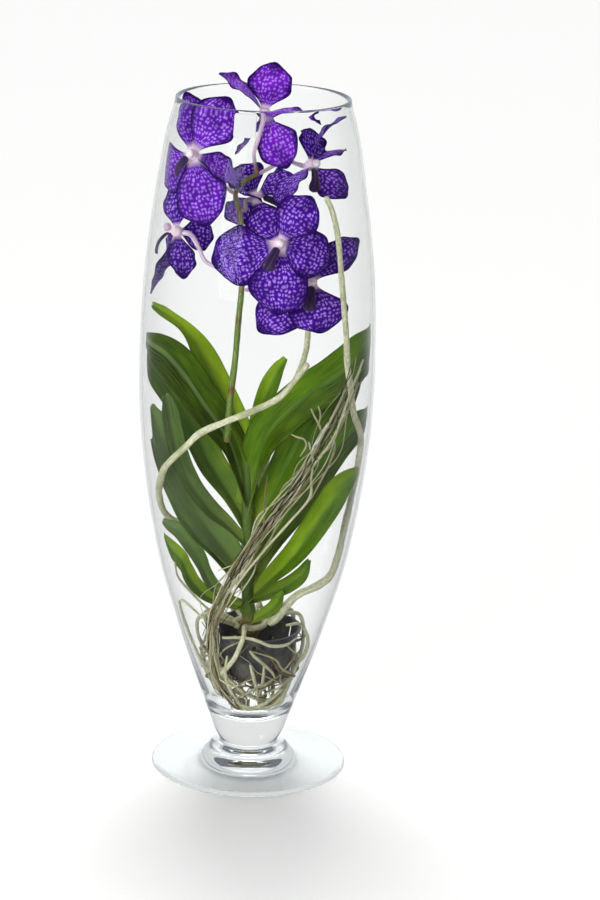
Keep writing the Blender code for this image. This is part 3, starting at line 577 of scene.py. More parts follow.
def leaf_half_width(t, taper):
    """Share of the full half-width, from the clasping base to the cut tip."""
    start, end, left = taper
    base = LEAF_CLASP + (1.0 - LEAF_CLASP) * smoothstep(0.0, 0.35, t)
    rounded = 1.0 - TIP_ROUNDED * smoothstep(0.92, 1.0, t) ** 2
    return base * rounded * (1.0 - (TIP_TAPER - left) * smoothstep(start, end, t) ** 1.3)


# %% A leaf's grid
def leaf_grid(leaf, drawn):
    """Rows of points of a leaf's middle surface, with its groove, waves and bitten tip."""
    midrib = smooth_path(leaf.midrib, LEAF_ROWS + 1)
    directions = np.gradient(midrib, axis=0)
    outward = math.copysign(1.0, leaf.midrib[-1][0] - leaf.midrib[0][0])
    phases = [drawn.uniform(0, 6.28) for _ in range(3)]
    lobe = drawn.uniform(-0.25, 0.25)
    rows = []
    for i in range(LEAF_ROWS + 1):
        t = i / LEAF_ROWS
        direction = unit(directions[i])
        camera_side = outward * unit(np.cross(direction, (0, 0, 1)))
        over = unit(outward * np.cross(camera_side, direction))
        turned_by = (leaf.turn_tip - leaf.turn_base) * float(smoothstep(0.0, 0.7, t))
        turn = math.radians(leaf.turn_base + turned_by)
        normal = over * math.cos(turn) + camera_side * math.sin(turn)
        side = np.cross(direction, normal)
        fold = math.radians(LEAF_FOLD[0] + (LEAF_FOLD[1] - LEAF_FOLD[0])
                            * float(smoothstep(0.0, 0.6, t)))
        half = leaf.width / 2 * float(leaf_half_width(t, leaf.taper))
        line = []
        for j in range(LEAF_COLUMNS + 1):
            v = 2 * j / LEAF_COLUMNS - 1
            raised = math.sqrt(v * v + GROOVE ** 2) - GROOVE
            wave = LEAF_WAVE * leaf.width * math.sin(9 * t + phases[0] + 2 * v) * v * v
            point = (midrib[i] + side * v * half * math.sin(fold)
                     + normal * (raised * half * math.cos(fold) + wave))
            bite = abs(v) * 3.8 - v * v * 3.2 + 0.25 * math.sin(7 * v + phases[1]) + lobe * v
            bite -= 0.12 * math.sin(23 * v + phases[2]) + 2.4 * abs(v) ** 5
            point = point + direction * half * TIP_NOTCH * bite * float(smoothstep(0.88, 1, t))
            line.append(inside_glass(point, leaf.clear))
        rows.append(line)
    return np.array(rows)


def leaf_part(leaf, drawn):
    """One leaf's points, faces and values: place along and across it, and its looks."""
    rows = leaf_grid(leaf, drawn)
    along = np.linspace(0, 1, LEAF_ROWS + 1)[:, None]
    across = np.linspace(-1, 1, LEAF_COLUMNS + 1)[None, :]
    steps = np.linalg.norm(np.diff(rows[:, LEAF_COLUMNS // 2], axis=0), axis=1)
    run = np.concatenate([[0], np.cumsum(steps)])[:, None]
    half = leaf.width / 2 * leaf_half_width(along, leaf.taper)
    edges = rows[LEAF_ROWS // 2, [0, -1], 2]
    upper = across * math.copysign(1.0, edges[1] - edges[0])
    thickness = LEAF_THICK * (1.0 - 0.62 * np.abs(across) ** 2.5) * (1 - 0.5 * along ** 8)
    return blade(rows, thickness, {
        "across": across, "run_mm": run, "reach_mm": half * across, "upper": upper,
        "light": leaf.light, "grey": leaf.grey, "rib": leaf.rib,
        "own": drawn.random()})


# %% [markdown]
# ### Leaf tissue
# A living leaf is waxy and satin, never plain green. Fine parallel veins run its whole length,
# the midrib is a paler line in the groove, the margin is darker, and the clasping base bleaches
# to yellow-green. Light and shade are painted into the colour too: some leaves are painted
# bright, as light from behind makes them, the half above a leaf's fold is painted lighter and the
# half below it in shade, and where a leaf lies near the glass it is painted grey, as the glass's
# reflection greys it. Each of these is one layer, mixed in by the numbers kept on the mesh.

# %% Leaf material: the veins and the colour under them
leaf_tissue, tree, shader = new_material("waxy_leaf_tissue", 0.4, IOR=1.42,
                                         Specular_IOR_Level=0.12, Subsurface_Weight=0.2,
                                         Subsurface_Scale=0.0012)
shader.inputs["Subsurface Radius"].default_value = (0.6, 1.0, 0.25)
run, reach, across, upper, light, grey, rib, own = [
    add_node(tree, **FACTOR, attribute_name=name)
    for name in ("run_mm", "reach_mm", "across", "upper", "light", "grey", "rib", "own")]
# Veins lie about 0.8 mm apart and keep their line for some 30 mm.
shift = add_node(tree, "ShaderNodeMath", {0: own, 1: 90.0}, operation="MULTIPLY")
slow_run = add_node(tree, "ShaderNodeMath", {0: run, 1: 0.03}, operation="MULTIPLY")
lengthwise = add_node(tree, "ShaderNodeCombineXYZ", {"X": reach, "Y": slow_run, "Z": shift})
veins = add_node(tree, "ShaderNodeTexNoise", {"Vector": lengthwise, "Scale": 1.3, "Detail": 3.0,
                                              "Roughness": 0.6})
veins = add_node(tree, "ShaderNodeMapRange", {"Value": veins, "From Min": 0.35, "From Max": 0.68})
# Cloudy streaks some 8 mm wide and 35 mm long follow how the tissue grew.
grown_run = add_node(tree, "ShaderNodeMath", {0: run, 1: 0.22}, operation="MULTIPLY")
streaked = add_node(tree, "ShaderNodeCombineXYZ", {"X": reach, "Y": grown_run, "Z": shift})
clouds = add_node(tree, "ShaderNodeTexNoise", {"Vector": streaked, "Scale": 0.13, "Detail": 3.0})
clouds = add_node(tree, "ShaderNodeMapRange", {"Value": clouds, "From Min": 0.3, "From Max": 0.7,
                                               "To Min": -0.16, "To Max": 0.16})
# Painted light and shade: the half above the fold is painted lighter, as it faces the light,
# and the half below it darker, as it lies in shade.
painted_light_by_half = add_node(tree, "ShaderNodeMapRange", {"Value": upper, "From Min": -0.25,
                                               "From Max": 0.15, "To Min": -0.2,
                                               "To Max": 0.1})
# Painted light and shade, with random streaks: how far the colour runs from dark to bright green.
lit = add_node(tree, "ShaderNodeMath", {0: light, 1: clouds}, operation="ADD")
lit = add_node(tree, "ShaderNodeMath", {0: lit, 1: painted_light_by_half}, operation="ADD")
low = add_node(tree, "ShaderNodeMapRange", {"Value": lit, "From Max": 0.5})
high = add_node(tree, "ShaderNodeMapRange", {"Value": lit, "From Min": 0.5})
vein_share = add_node(tree, "ShaderNodeMath", {0: veins, 1: 0.28}, operation="MULTIPLY")

# %% Leaf material: the veil, the midrib, the margin and the base
# Painted reflection: a leaf lying near the glass is greyed, as the glass's reflection greys it.
painted_glass_veil = add_node(tree, "ShaderNodeMath", {0: grey, 1: 0.55}, operation="MULTIPLY")
# The midrib's pale line is 1.2 mm wide each side, and fades out at 2.4 mm.
off_middle = add_node(tree, "ShaderNodeMath", {0: reach}, operation="ABSOLUTE")
stripe = add_node(tree, "ShaderNodeMapRange", {"Value": off_middle, "From Min": 1.2,
                                               "From Max": 2.4, "To Min": 0.75, "To Max": 0.0})
stripe = add_node(tree, "ShaderNodeMath", {0: stripe, 1: rib}, operation="MULTIPLY")
off_axis = add_node(tree, "ShaderNodeMath", {0: across}, operation="ABSOLUTE")
margin = add_node(tree, "ShaderNodeMapRange", {"Value": off_axis, "From Min": 0.9,
                                               "To Max": 0.4})
base = add_node(tree, "ShaderNodeMapRange", {"Value": run, "From Min": 4.0, "From Max": 45.0,
                                             "To Min": 0.4, "To Max": 0.0})
colour = linear("#122600")
for share, hex_code in ((low, "#446B00"), (high, "#97B61C"), (vein_share, "#8FAE22"),
                        (painted_glass_veil, "#7E906A"), (stripe, "#86A068"), (margin, "#1E300A"),
                        (base, "#9DAE4E")):
    colour = add_node(tree, "ShaderNodeMix", {"Factor": share, "A": colour,
                                              "B": linear(hex_code)}, data_type="RGBA")
tree.links.new(colour, shader.inputs["Base Color"])
wax = add_node(tree, "ShaderNodeMapRange", {"Value": clouds, "From Min": -0.16,
                                            "From Max": 0.16, "To Min": 0.3, "To Max": 0.5})
tree.links.new(wax, shader.inputs["Roughness"])
# The veins stand about 0.05 mm proud.
raised = add_node(tree, "ShaderNodeBump", {"Height": veins, "Strength": 0.5, "Distance": 0.0001})
tree.links.new(raised, shader.inputs["Normal"])

# %% The leaves
drawn = random.Random(5)
points, faces, values = gathered([leaf_part(leaf, drawn) for leaf in LEAVES])
leaves = mesh_piece("strap_leaves", points, faces, leaf_tissue, values)
stand_for(leaves, "leaf_green", "leafy_stem")

# %% [markdown]
# ## Stem and crown
# The leaf bases hide most of the stem. What shows is a short green-brown axis with a scar where
# each old leaf sat, and a knobbly crown in the basket that the roots grow from. Both are round
# tubes along a curve, with swellings worked out from the distance run, because every stalk and
# root here is made in that one way.

# %% A round tube along a curve
END_RINGS = np.array([0.0, 0.06, 0.2, 0.45, 0.7])


def round_tube(route, radii, sides, step, drawn, swell=0.05, ridges=0):
    """Points, faces and values of a closed tube with rounded ends, swollen a little at random."""
    route = np.asarray(route, float)
    run = np.concatenate([[0], np.cumsum(np.linalg.norm(np.diff(route, axis=0), axis=1))])
    at = np.concatenate([END_RINGS * radii[0], np.arange(radii[0], run[-1] - radii[-1], step),
                         run[-1] - END_RINGS[::-1] * radii[-1]])
    centres = np.stack([np.interp(at, run, route[:, k]) for k in range(3)], 1)
    radius = np.interp(at / run[-1], np.linspace(0, 1, len(radii)), radii)
    for distance, end in ((at, radii[0]), (run[-1] - at, radii[-1])):
        radius = radius * np.sqrt(np.maximum(1 - (1 - np.clip(distance / end, 0, 1)) ** 2, 0.004))
    turns = np.linspace(0, 2 * math.pi, sides, endpoint=False)
    phase = [drawn.uniform(0, 6.28) for _ in range(4)]
    swollen = 0.5 * np.sin(at / 5.3 + phase[0]) + 0.4 * np.sin(at / 2.3 + phase[1])
    shape = 1 + swell * swollen[:, None]
    shape = shape + swell * 0.6 * np.sin(2 * turns[None, :] + at[:, None] / 9 + phase[2])
    shape = shape + (0.05 * np.cos(ridges * turns + phase[3]) if ridges else 0)
    directions = np.gradient(centres, axis=0)
    side, points = unit(np.cross(directions[0], (0.31, 0.87, 0.38))), []
    for centre, direction, size, form in zip(centres, directions, radius, shape):
        direction = unit(direction)
        side = unit(side - direction * float(side @ direction))
        ring = np.outer(np.cos(turns), side) + np.outer(np.sin(turns), np.cross(direction, side))
        points.append(centre + ring * (size * form)[:, None])
    faces = [(i * sides + k, i * sides + (k + 1) % sides, (i + 1) * sides + (k + 1) % sides,
              (i + 1) * sides + k) for i in range(len(at) - 1) for k in range(sides)]
    faces += [tuple(range(sides))[::-1], tuple((len(at) - 1) * sides + k for k in range(sides))]
    values = {"run_mm": np.repeat(at, sides), "round_x": np.tile(np.cos(turns), len(at)),
              "round_y": np.tile(np.sin(turns), len(at))}
    return np.vstack(points), faces, values


# %% [markdown]
# ### Living stalk
# A stalk is smooth green skin with faint lengthwise lines, dull brown at old joints and scars
# and paler where it was shaded. Up among the leaf bases the stem is painted a darker green, as
# painted shade. The mesh keeps how brown and how pale each place is, and that painted shade.

# %% Stalk material
stalk_skin, tree, shader = new_material("green_stalk_skin", 0.45, IOR=1.42,
                                        Subsurface_Weight=0.15, Subsurface_Scale=0.001)
shader.inputs["Subsurface Radius"].default_value = (0.7, 1.0, 0.3)
run, round_x, round_y, brown, pale, deep = [
    add_node(tree, **FACTOR, attribute_name=name)
    for name in ("run_mm", "round_x", "round_y", "brown", "pale", "deep")]
# The place round the stalk runs from -1 to 1, so its lines are about a tenth of the way round
# it wide. They keep their line for some 4 mm.
slow_run = add_node(tree, "ShaderNodeMath", {0: run, 1: 0.07}, operation="MULTIPLY")
skin_place = add_node(tree, "ShaderNodeCombineXYZ", {"X": round_x, "Y": round_y, "Z": slow_run})
lines = add_node(tree, "ShaderNodeTexNoise", {"Vector": skin_place, "Scale": 3.5, "Detail": 4.0})
lines = add_node(tree, "ShaderNodeMapRange", {"Value": lines, "From Min": 0.35, "From Max": 0.65})
colour = linear("#4C6A22")
for share, hex_code in ((lines, "#7C8F42"), (pale, "#B3B083"), (deep, "#45601C")):
    colour = add_node(tree, "ShaderNodeMix", {"Factor": share, "A": colour,
                                              "B": linear(hex_code)}, data_type="RGBA")
rust = add_node(tree, "ShaderNodeMix", {"Factor": lines, "A": linear("#4A2A1C"),
                                        "B": linear("#8A5A3A")}, data_type="RGBA")
colour = add_node(tree, "ShaderNodeMix", {"Factor": brown, "A": colour, "B": rust},
                  data_type="RGBA")
tree.links.new(colour, shader.inputs["Base Color"])
raised = add_node(tree, "ShaderNodeBump", {"Height": lines, "Strength": 0.4, "Distance": 0.0002})
tree.links.new(raised, shader.inputs["Normal"])

# %% The stem and its crown
STEM_ROUTE = [(2, -4, 94), (-3, -3, 150), (-5, 1, 220), (-7, 8, 288)]
STEM_RADIUS = 6.0
SCAR_SPACING = 11
BARE_BELOW = (125, 150)
CROWN_RADIUS, CROWN_HALF = 11.0, 9.0
CROWN_HEIGHT = 128.0
drawn = random.Random(6)


def stem_point(height):
    """The middle of the stem at a height."""
    route = smooth_path(STEM_ROUTE, 60)
    return np.array([np.interp(height, route[:, 2], route[:, k]) for k in range(3)])


def crown_part(drawn):
    """The crown as a knobbly closed lump, with the values that the stalk's skin reads."""
    low, high = stem_point(CROWN_HEIGHT - CROWN_HALF), stem_point(CROWN_HEIGHT + CROWN_HALF)
    heights = np.linspace(-1, 1, 13)
    route = np.array([low + (high - low) * (h + 1) / 2 for h in heights])
    radii = CROWN_RADIUS * np.sqrt(np.maximum(1 - heights ** 2, 0.02))
    points, faces, values = round_tube(route, radii, 40, 0.5, drawn, 0.07, 9)
    return points, faces, {**values, "brown": 0.75, "pale": 0.2, "deep": 0.0}


points, faces, values = round_tube(smooth_path(STEM_ROUTE, 120),
                                   [STEM_RADIUS, STEM_RADIUS, STEM_RADIUS * 0.7], 32, 1.0,
                                   drawn, 0.06)
scars = np.abs(np.sin(values["run_mm"] / SCAR_SPACING * math.pi)) < 0.14
bare = 1 - smoothstep(*BARE_BELOW, points[:, 2])
values["brown"] = 0.5 * bare + np.where(scars, 0.1, 0.0)
values["pale"] = 0.2 * bare
# Painted shade: the stem up among the leaf bases is painted a darker green.
values["deep"] = 0.75 * (1 - bare)
points, faces, values = gathered([(points, faces, values), crown_part(drawn)])
stem = mesh_piece("stem_and_crown", points, faces, stalk_skin, values)
stand_for(stem, "leaf_green", "leafy_stem")

# %% [markdown]
# ## The flower spike
# The spike is one stalk that turns at each node, where a bloom leaves it. Real nodes are swollen;
# here they are only coloured, ringed with a thin bract scar and redder than the stalk, and near
# the top it turns brownish.

# %% The spike
SPIKE_ROUTE = [(-25, -18, 302), (-24, -19, 318), (-22, -19, 347), (-19, -18, 377),
               (-17, -16, 410), (-15, -13, 438), (-15, -8, 469), (-18, -3, 499), (-22, 1, 517),
               (-14, 3, 527), (-3, 4, 533)]
SPIKE_RADII = [2.9, 2.7, 2.5, 2.4, 2.3, 1.9]
# Each node's height, and how brown it is.
SPIKE_NODES = [(302, 0.85), (349, 0.9), (410, 0.6), (436, 0.5), (458, 0.6), (502, 0.7),
               (516, 0.5), (532, 0.2)]
points, faces, values = round_tube(smooth_path(SPIKE_ROUTE, 300), SPIKE_RADII, 24, 1.0, drawn,
                                   0.04, 6)
height = points[:, 2]
at_node = sum(share * np.exp(-((height - z) / 4.0) ** 2) for z, share in SPIKE_NODES)
values["brown"] = np.clip(at_node + 0.45 * smoothstep(475, 500, height), 0, 0.95)
values["pale"] = 0.5 * smoothstep(430, 450, height) * (1 - smoothstep(470, 490, height))
spike = mesh_piece("flower_spike_stalk", points, faces, stalk_skin, values)
stand_for(spike, "spike_green", "flower_spike")

# %% [markdown]
# ## Blooms
# Each bloom has broad tepals on narrow claws, set round a pale column with a small dark lip
# below it. A tepal is a thin grid bent along a curve, cupped, with a ruffled margin, made in the
# same way as a leaf. Real tepals are fleshy at the claw and thin out to under half a millimetre.

# %% The blooms' places, from the CAD model's numbers
TEPAL_THICK = 0.9
TEPAL_ROOT = 2.0
WAVE = 0.04
RUFFLE = 1.1
MIDDLE_GROOVE = 0.5
TIP_ROUND = 0.09
PETAL_CLEAR = 1.6

# A bloom has its letter, its centre, its column's facing, its lip's way, where its pedicel
# leaves the spike, a point that the pedicel passes, and its tepals. A tepal has its tip's place
# from the centre, its width, the way its face looks and how far it arches that way.
Bloom = collections.namedtuple("Bloom", "letter centre facing lip_way leaves_at passes tepals")
BLOOMS = [
    Bloom("a", (1, 2, 586), (0.1, 0.8, 0.45), (0, 0.3, -0.9), (-4, 4, 532.5), (-7, -10, 552), [
        ((8, -8, 44), 38, (0.1, -1, 0.1), -2), ((-39, -6, 33), 36, (0.6, -0.1, 0.79), 3),
        ((48, 4, -10), 36, (0.2, 0.1, 0.97), 5), ((20, -12, -45), 36, (0.1, -1, 0.2), -2),
        ((-24, 10, -38), 30, (0.8, -0.3, -0.5), 2)]),
    Bloom("b", (-58, -32, 555), (-0.25, -0.95, 0.15), (-0.7, -0.35, -0.6), (-22, 1, 515),
          (-42, -12, 534), [
        ((-7, 26, 48), 38, (0.2, -0.85, 0.45), 4), ((30, 10, 47), 40, (0.1, -1, 0.25), 4),
        ((-27, 33, -26), 42, (-0.6, -0.75, 0.1), 5), ((13, -14, -58), 44, (0, -1, 0.2), 5),
        ((40, 6, -28), 40, (0.45, -0.35, 0.8), 5)]),
    Bloom("c", (41, 8, 541), (0.5, -0.85, 0.2), (-0.2, -0.3, -0.9), (-4.6, 4, 532.2),
          (20, 6, 545), [
        ((0, 18, 28), 36, (0.7, -0.6, 0.3), 2), ((31, -2, 43), 34, (-0.8, 0.05, 0.58), 8),
        ((32, 26, 9), 26, (-0.1, 0.1, 1), 4), ((31, -16, -24), 30, (0.3, -0.85, 0.5), -2),
        ((-24, -34, -29), 40, (-0.7, -0.3, 0.65), 4)]),
    Bloom("d", (-71, -10, 485), (-0.9, 0.25, 0.18), (-0.3, 0, -0.95), (-15, -11.8, 446),
          (-44, -19, 460), [
        ((0, 15, 38), 29, (-0.5, -0.85, 0), 2), ((-24, 8, -57), 30, (0.85, -0.35, -0.3), 3),
        ((7, -16, -38), 28, (0.6, -0.8, 0.2), 3), ((-9, 20, -28), 22, (-0.8, -0.4, 0.3), 2),
        ((31, 16, -8), 30, (0.3, -0.8, 0.4), 1)]),
    Bloom("e", (16, -50, 485), (-0.05, -0.98, 0.1), (-0.45, -0.3, -0.85), (-15.2, -9.9, 458),
          (2, -28, 464), [
        ((-56, 2, -18), 50, (0.1, -1, 0.1), 5), ((1, -10, -59), 50, (0, -1, 0.05), 6),
        ((44, 6, -17), 44, (-0.2, -0.8, 0.5), 7), ((26, 8, 39), 38, (-0.2, -0.95, 0.2), 4),
        ((-21, 14, 26), 36, (0.2, -0.9, 0.4), 3)]),
    Bloom("f", (44, -20, 446), (0.05, -0.97, 0.15), (-0.1, -0.25, -0.95), (-15.3, -13.3, 436),
          (14, -11, 436), [
        ((10, -14, -41), 50, (0, -1, 0.1), 4), ((-44, -6, -43), 40, (0, -1, 0), 4),
        ((39, 2, 38), 30, (-0.2, -0.7, 0.6), 4), ((-5, 12, 37), 34, (0, -1, 0.2), 2),
        ((-38, 6, 6), 36, (0, -1, 0.2), 2)]),
    Bloom("g", (-5, 18, 510), (0.6, 0.7, 0.1), (0.8, 0.1, -0.2), (-18, -3, 502), (-13, 5, 502), [
        ((-14, 20, 24), 34, (-0.3, -0.5, 0.8), 3), ((-11, -14, 5), 34, (-0.2, -0.5, 0.85), 3),
        ((-26, -4, -18), 28, (-0.5, -0.7, 0.4), -2), ((32, 2, 20), 34, (0, -0.4, 0.9), 3),
        ((12, 10, -34), 34, (0, -1, 0), -2)]),
]

# %% [markdown]
# ### Tessellated petal tissue
# This orchid's tepals are deep blue-violet, with a net of darker veins that leaves rows of pale
# lilac cells, 3.5 mm apart across the blade and 3.7 mm along it. The cells are palest in the
# middle of a blade and run together into solid violet near its edge, the top bloom is pinker,
# and the claw is nearly white. A Voronoi pattern, laid out by the rows of cells across the blade
# and the distance along it, gives the net. A tepal is matt, with hardly any gloss.

# %% Petal material: the net of cells
CELL_ACROSS = 3.5
CELL_ALONG = 3.7

petal, tree, shader = new_material("tessellated_petal_tissue", 0.42, IOR=1.4,
                                   Specular_IOR_Level=0.05, Subsurface_Weight=0.12,
                                   Subsurface_Scale=0.0008)
shader.inputs["Subsurface Radius"].default_value = (0.8, 0.4, 1.0)
run, reach, along, across, own, pink = [
    add_node(tree, **FACTOR, attribute_name=name)
    for name in ("run_mm", "reach_mm", "along", "across", "own", "pink")]
rows_across = add_node(tree, **FACTOR, attribute_name="vein_rows")
column = add_node(tree, "ShaderNodeMath", {0: across, 1: rows_across}, operation="MULTIPLY")
cell_run = add_node(tree, "ShaderNodeMath", {0: run, 1: CELL_ALONG}, operation="DIVIDE")
shift = add_node(tree, "ShaderNodeMath", {0: own, 1: 50.0}, operation="MULTIPLY")
net_place = add_node(tree, "ShaderNodeCombineXYZ", {"X": column, "Y": cell_run, "Z": shift})
flat_place = add_node(tree, "ShaderNodeCombineXYZ", {"X": reach, "Y": run, "Z": shift})
# The rows wander over some 6 mm, so that no cell looks stamped.
jitter = add_node(tree, "ShaderNodeTexNoise", {"Vector": flat_place, "Scale": 0.16,
                                               "Detail": 2.0}, output="Color")
jitter = add_node(tree, "ShaderNodeVectorMath", {0: jitter, 1: (0.5, 0.5, 0.5)},
                  operation="SUBTRACT")
jitter = add_node(tree, "ShaderNodeVectorMath", {0: jitter, "Scale": 1.5}, operation="SCALE")
net_place = add_node(tree, "ShaderNodeVectorMath", {0: net_place, 1: jitter}, operation="ADD")
cells = add_node(tree, "ShaderNodeTexVoronoi", {"Vector": net_place, "Scale": 1.0,
                                                "Randomness": 0.5}, output="Distance",
                 voronoi_dimensions="2D")
spots = add_node(tree, "ShaderNodeMapRange", {"Value": cells, "From Min": 0.1,
                                              "From Max": 0.44, "To Min": 1.0, "To Max": 0.0},
                 interpolation_type="SMOOTHSTEP")

# %% Petal material: where the cells are pale
# Patches about 14 mm across are paler or darker.
patches = add_node(tree, "ShaderNodeTexNoise", {"Vector": flat_place, "Scale": 0.07,
                                                "Detail": 2.0})
patches = add_node(tree, "ShaderNodeMapRange", {"Value": patches, "From Min": 0.36,
                                                "From Max": 0.62, "To Min": 0.35})
off_axis = add_node(tree, "ShaderNodeMath", {0: across}, operation="ABSOLUTE")
inner = add_node(tree, "ShaderNodeMapRange", {"Value": off_axis, "From Min": 0.62,
                                              "From Max": 0.98, "To Min": 1.0, "To Max": 0.0},
                 interpolation_type="SMOOTHSTEP")
below_tip = add_node(tree, "ShaderNodeMapRange", {"Value": along, "From Min": 0.8,
                                                  "From Max": 0.98, "To Min": 1.0, "To Max": 0.0},
                     interpolation_type="SMOOTHSTEP")
shown = add_node(tree, "ShaderNodeMath", {0: inner, 1: below_tip}, operation="MULTIPLY")
shown = add_node(tree, "ShaderNodeMath", {0: shown, 1: patches}, operation="MULTIPLY")
blush = add_node(tree, "ShaderNodeMath", {0: pink, 1: shown}, operation="MULTIPLY")
dotted = add_node(tree, "ShaderNodeMath", {0: spots, 1: shown}, operation="MULTIPLY")
dotted = add_node(tree, "ShaderNodeMath", {0: dotted, 1: 0.78}, operation="MULTIPLY")
claw = add_node(tree, "ShaderNodeMapRange", {"Value": along, "From Min": 0.04, "From Max": 0.17,
                                             "To Min": 0.9, "To Max": 0.0},
                interpolation_type="SMOOTHSTEP")
colour = linear("#240558")
for share, hex_code in ((shown, "#480F9A"), (blush, "#7E22C8"), (dotted, "#CDA0FC"),
                        (claw, "#EFD6E4")):
    colour = add_node(tree, "ShaderNodeMix", {"Factor": share, "A": colour,
                                              "B": linear(hex_code)}, data_type="RGBA")
tree.links.new(colour, shader.inputs["Base Color"])
# The cells stand about 0.1 mm proud of the veins between them.
quilted = add_node(tree, "ShaderNodeBump", {"Height": spots, "Strength": 0.35,
                                            "Distance": 0.0003})
tree.links.new(quilted, shader.inputs["Normal"])


# %% The outline of a tepal
TEPAL_ROWS, TEPAL_COLUMNS = 40, 26
# Places along a tepal, closer together towards its tip.
TEPAL_STOPS = 1 - (1 - np.arange(TEPAL_ROWS + 1) / TEPAL_ROWS) ** 1.3
CLAW_WIDTH = 0.17
WIDEST_AT = 0.56
ROUND_PART = 0.465


def tepal_half_width(u):
    """Share of the full half-width: a narrow claw, then a broad rounded blade."""
    wide = CLAW_WIDTH + (1 - CLAW_WIDTH) * float(smoothstep(0.02, 0.5, u))
    if u > WIDEST_AT:
        wide *= math.sqrt(max(0.0, 1 - ((u - WIDEST_AT) / ROUND_PART) ** 2))
    return wide


# %% A tepal's grid
def tepal_grid(centre, tepal, seed):
    """A tepal's middle surface from the centre to its tip, cupped, waved and ruffled."""
    reach, width, face, arch = tepal
    reach = np.array(reach, float)
    drawn = random.Random(seed)
    phase = drawn.uniform(0, 6.28)
    cup = drawn.uniform(-0.10, 0.14)
    root = unit(reach) * TEPAL_ROOT
    bulge = (root + reach) / 2 + unit(face) * arch * 2
    rows = []
    for u in TEPAL_STOPS:
        place = (1 - u) ** 2 * root + 2 * u * (1 - u) * bulge + u * u * reach
        direction = unit((1 - u) * (bulge - root) + u * (reach - bulge))
        side = unit(np.cross(direction, face))
        normal = np.cross(side, direction)
        half = width / 2 * tepal_half_width(u)
        line = []
        for j in range(TEPAL_COLUMNS + 1):
            v = 2 * j / TEPAL_COLUMNS - 1
            edge = 1 + 0.05 * v * v * math.sin(10 * u + 3 * phase + 1.5 * v)
            ripple = WAVE * width * math.sin(7.0 * u + phase + 1.7 * v)
            ripple *= float(smoothstep(0.2, 0.6, u))
            ruffle = RUFFLE * math.sin(19 * u + 5 * phase + 2 * v) * abs(v) ** 3
            ruffle *= float(smoothstep(0.25, 0.6, u))
            groove = -MIDDLE_GROOVE * math.exp(-(v / 0.12) ** 2)
            groove *= float(smoothstep(0.1, 0.3, u)) * (1 - u)
            line.append(inside_glass(
                np.array(centre) + place + side * v * half * edge
                + normal * (v * v * (cup * half + ripple) + ruffle + groove)
                - direction * TIP_ROUND * np.linalg.norm(reach) * v * v * u ** 3, PETAL_CLEAR))
        rows.append(line)
    return np.array(rows)


def tepal_part(centre, tepal, seed, pink):
    """One tepal's points, faces and values."""
    rows = tepal_grid(centre, tepal, seed)
    along = TEPAL_STOPS[:, None]
    across = np.linspace(-1, 1, TEPAL_COLUMNS + 1)[None, :]
    steps = np.linalg.norm(np.diff(rows[:, TEPAL_COLUMNS // 2], axis=0), axis=1)
    run = np.concatenate([[0], np.cumsum(steps)])[:, None]
    half = tepal[1] / 2 * np.array([tepal_half_width(u) for u in TEPAL_STOPS])[:, None]
    thickness = TEPAL_THICK * (1 + 0.5 * (1 - smoothstep(0.05, 0.3, along)))
    thickness = thickness * (1 - 0.5 * np.abs(across) ** 3)
    return blade(rows, thickness, {
        "along": along, "across": across, "run_mm": run, "reach_mm": half * across,
        "vein_rows": tepal[1] / (2 * CELL_ACROSS), "own": random.Random(seed + 500).random(),
        "pink": pink})


# %% The tepals, with the receptacle that they sit on
RECEPTACLE = 5.0
PINKER = {"a": 0.9, "b": 0.45, "c": 0.1}


def receptacle_part(centre):
    """The fleshy knob behind the tepals' claws, ribbed a little."""
    heights = np.linspace(-1, 1, 9)
    points, faces, values = round_tube(
        np.array(centre) + np.outer(heights, (0, 0, RECEPTACLE)),
        RECEPTACLE * np.sqrt(np.maximum(1 - heights ** 2, 0.02)), 24, 0.5,
        random.Random(3), 0.03, 6)
    return points, faces, {"along": 0.0, "across": 0.0, "run_mm": values["run_mm"],
                           "reach_mm": 0.0, "vein_rows": 5.0, "own": 0.5, "pink": 0.0}


for index, bloom in enumerate(BLOOMS):
    pinker = PINKER.get(bloom.letter, 0.0)
    parts = [tepal_part(bloom.centre, tepal, 10 * index + k, pinker)
             for k, tepal in enumerate(bloom.tepals)]
    points, faces, values = gathered(parts + [receptacle_part(bloom.centre)])
    tepals = mesh_piece(f"tepals_{bloom.letter}", points, faces, petal, values)
    stand_for(tepals, "tepal_violet", f"bloom_{bloom.letter}_tepals")

# %% [markdown]
# ### Column, lip and pedicel
# The column is the fused stamen and style, short, blunt and nearly white, with the anther cap at
# its end. The lip is a stiff ridged tongue, dark purple and velvety. The pedicel is the bloom's
# own stalk: a twisted, ribbed, pale lilac tube, because the ovary inside it is turned round.

# %% Column material
column_flesh, tree, shader = new_material("pale_column_flesh", 0.38, IOR=1.4,
                                          Subsurface_Weight=0.3, Subsurface_Scale=0.001)
run = add_node(tree, **FACTOR, attribute_name="run_mm")
place = add_node(tree, "ShaderNodeTexCoord", output="Object")
# Freckles about 1.5 mm apart, from the base towards the cap.
freckles = add_node(tree, "ShaderNodeTexNoise", {"Vector": place, "Scale": 700.0, "Detail": 2.0})
freckles = add_node(tree, "ShaderNodeMapRange", {"Value": freckles, "From Min": 0.55,
                                                 "From Max": 0.7, "To Max": 0.5})
to_cap = add_node(tree, "ShaderNodeMapRange", {"Value": run, "From Min": 3.0, "From Max": 7.0})
colour = linear("#D9B6CC")
for share, hex_code in ((to_cap, "#F6EBEF"), (freckles, "#B984B4")):
    colour = add_node(tree, "ShaderNodeMix", {"Factor": share, "A": colour,
                                              "B": linear(hex_code)}, data_type="RGBA")
tree.links.new(colour, shader.inputs["Base Color"])

# %% Lip material
lip_velvet, tree, shader = new_material("velvety_lip_tissue", 0.5, IOR=1.4, Sheen_Weight=0.2)
place = add_node(tree, "ShaderNodeTexCoord", output="Object")
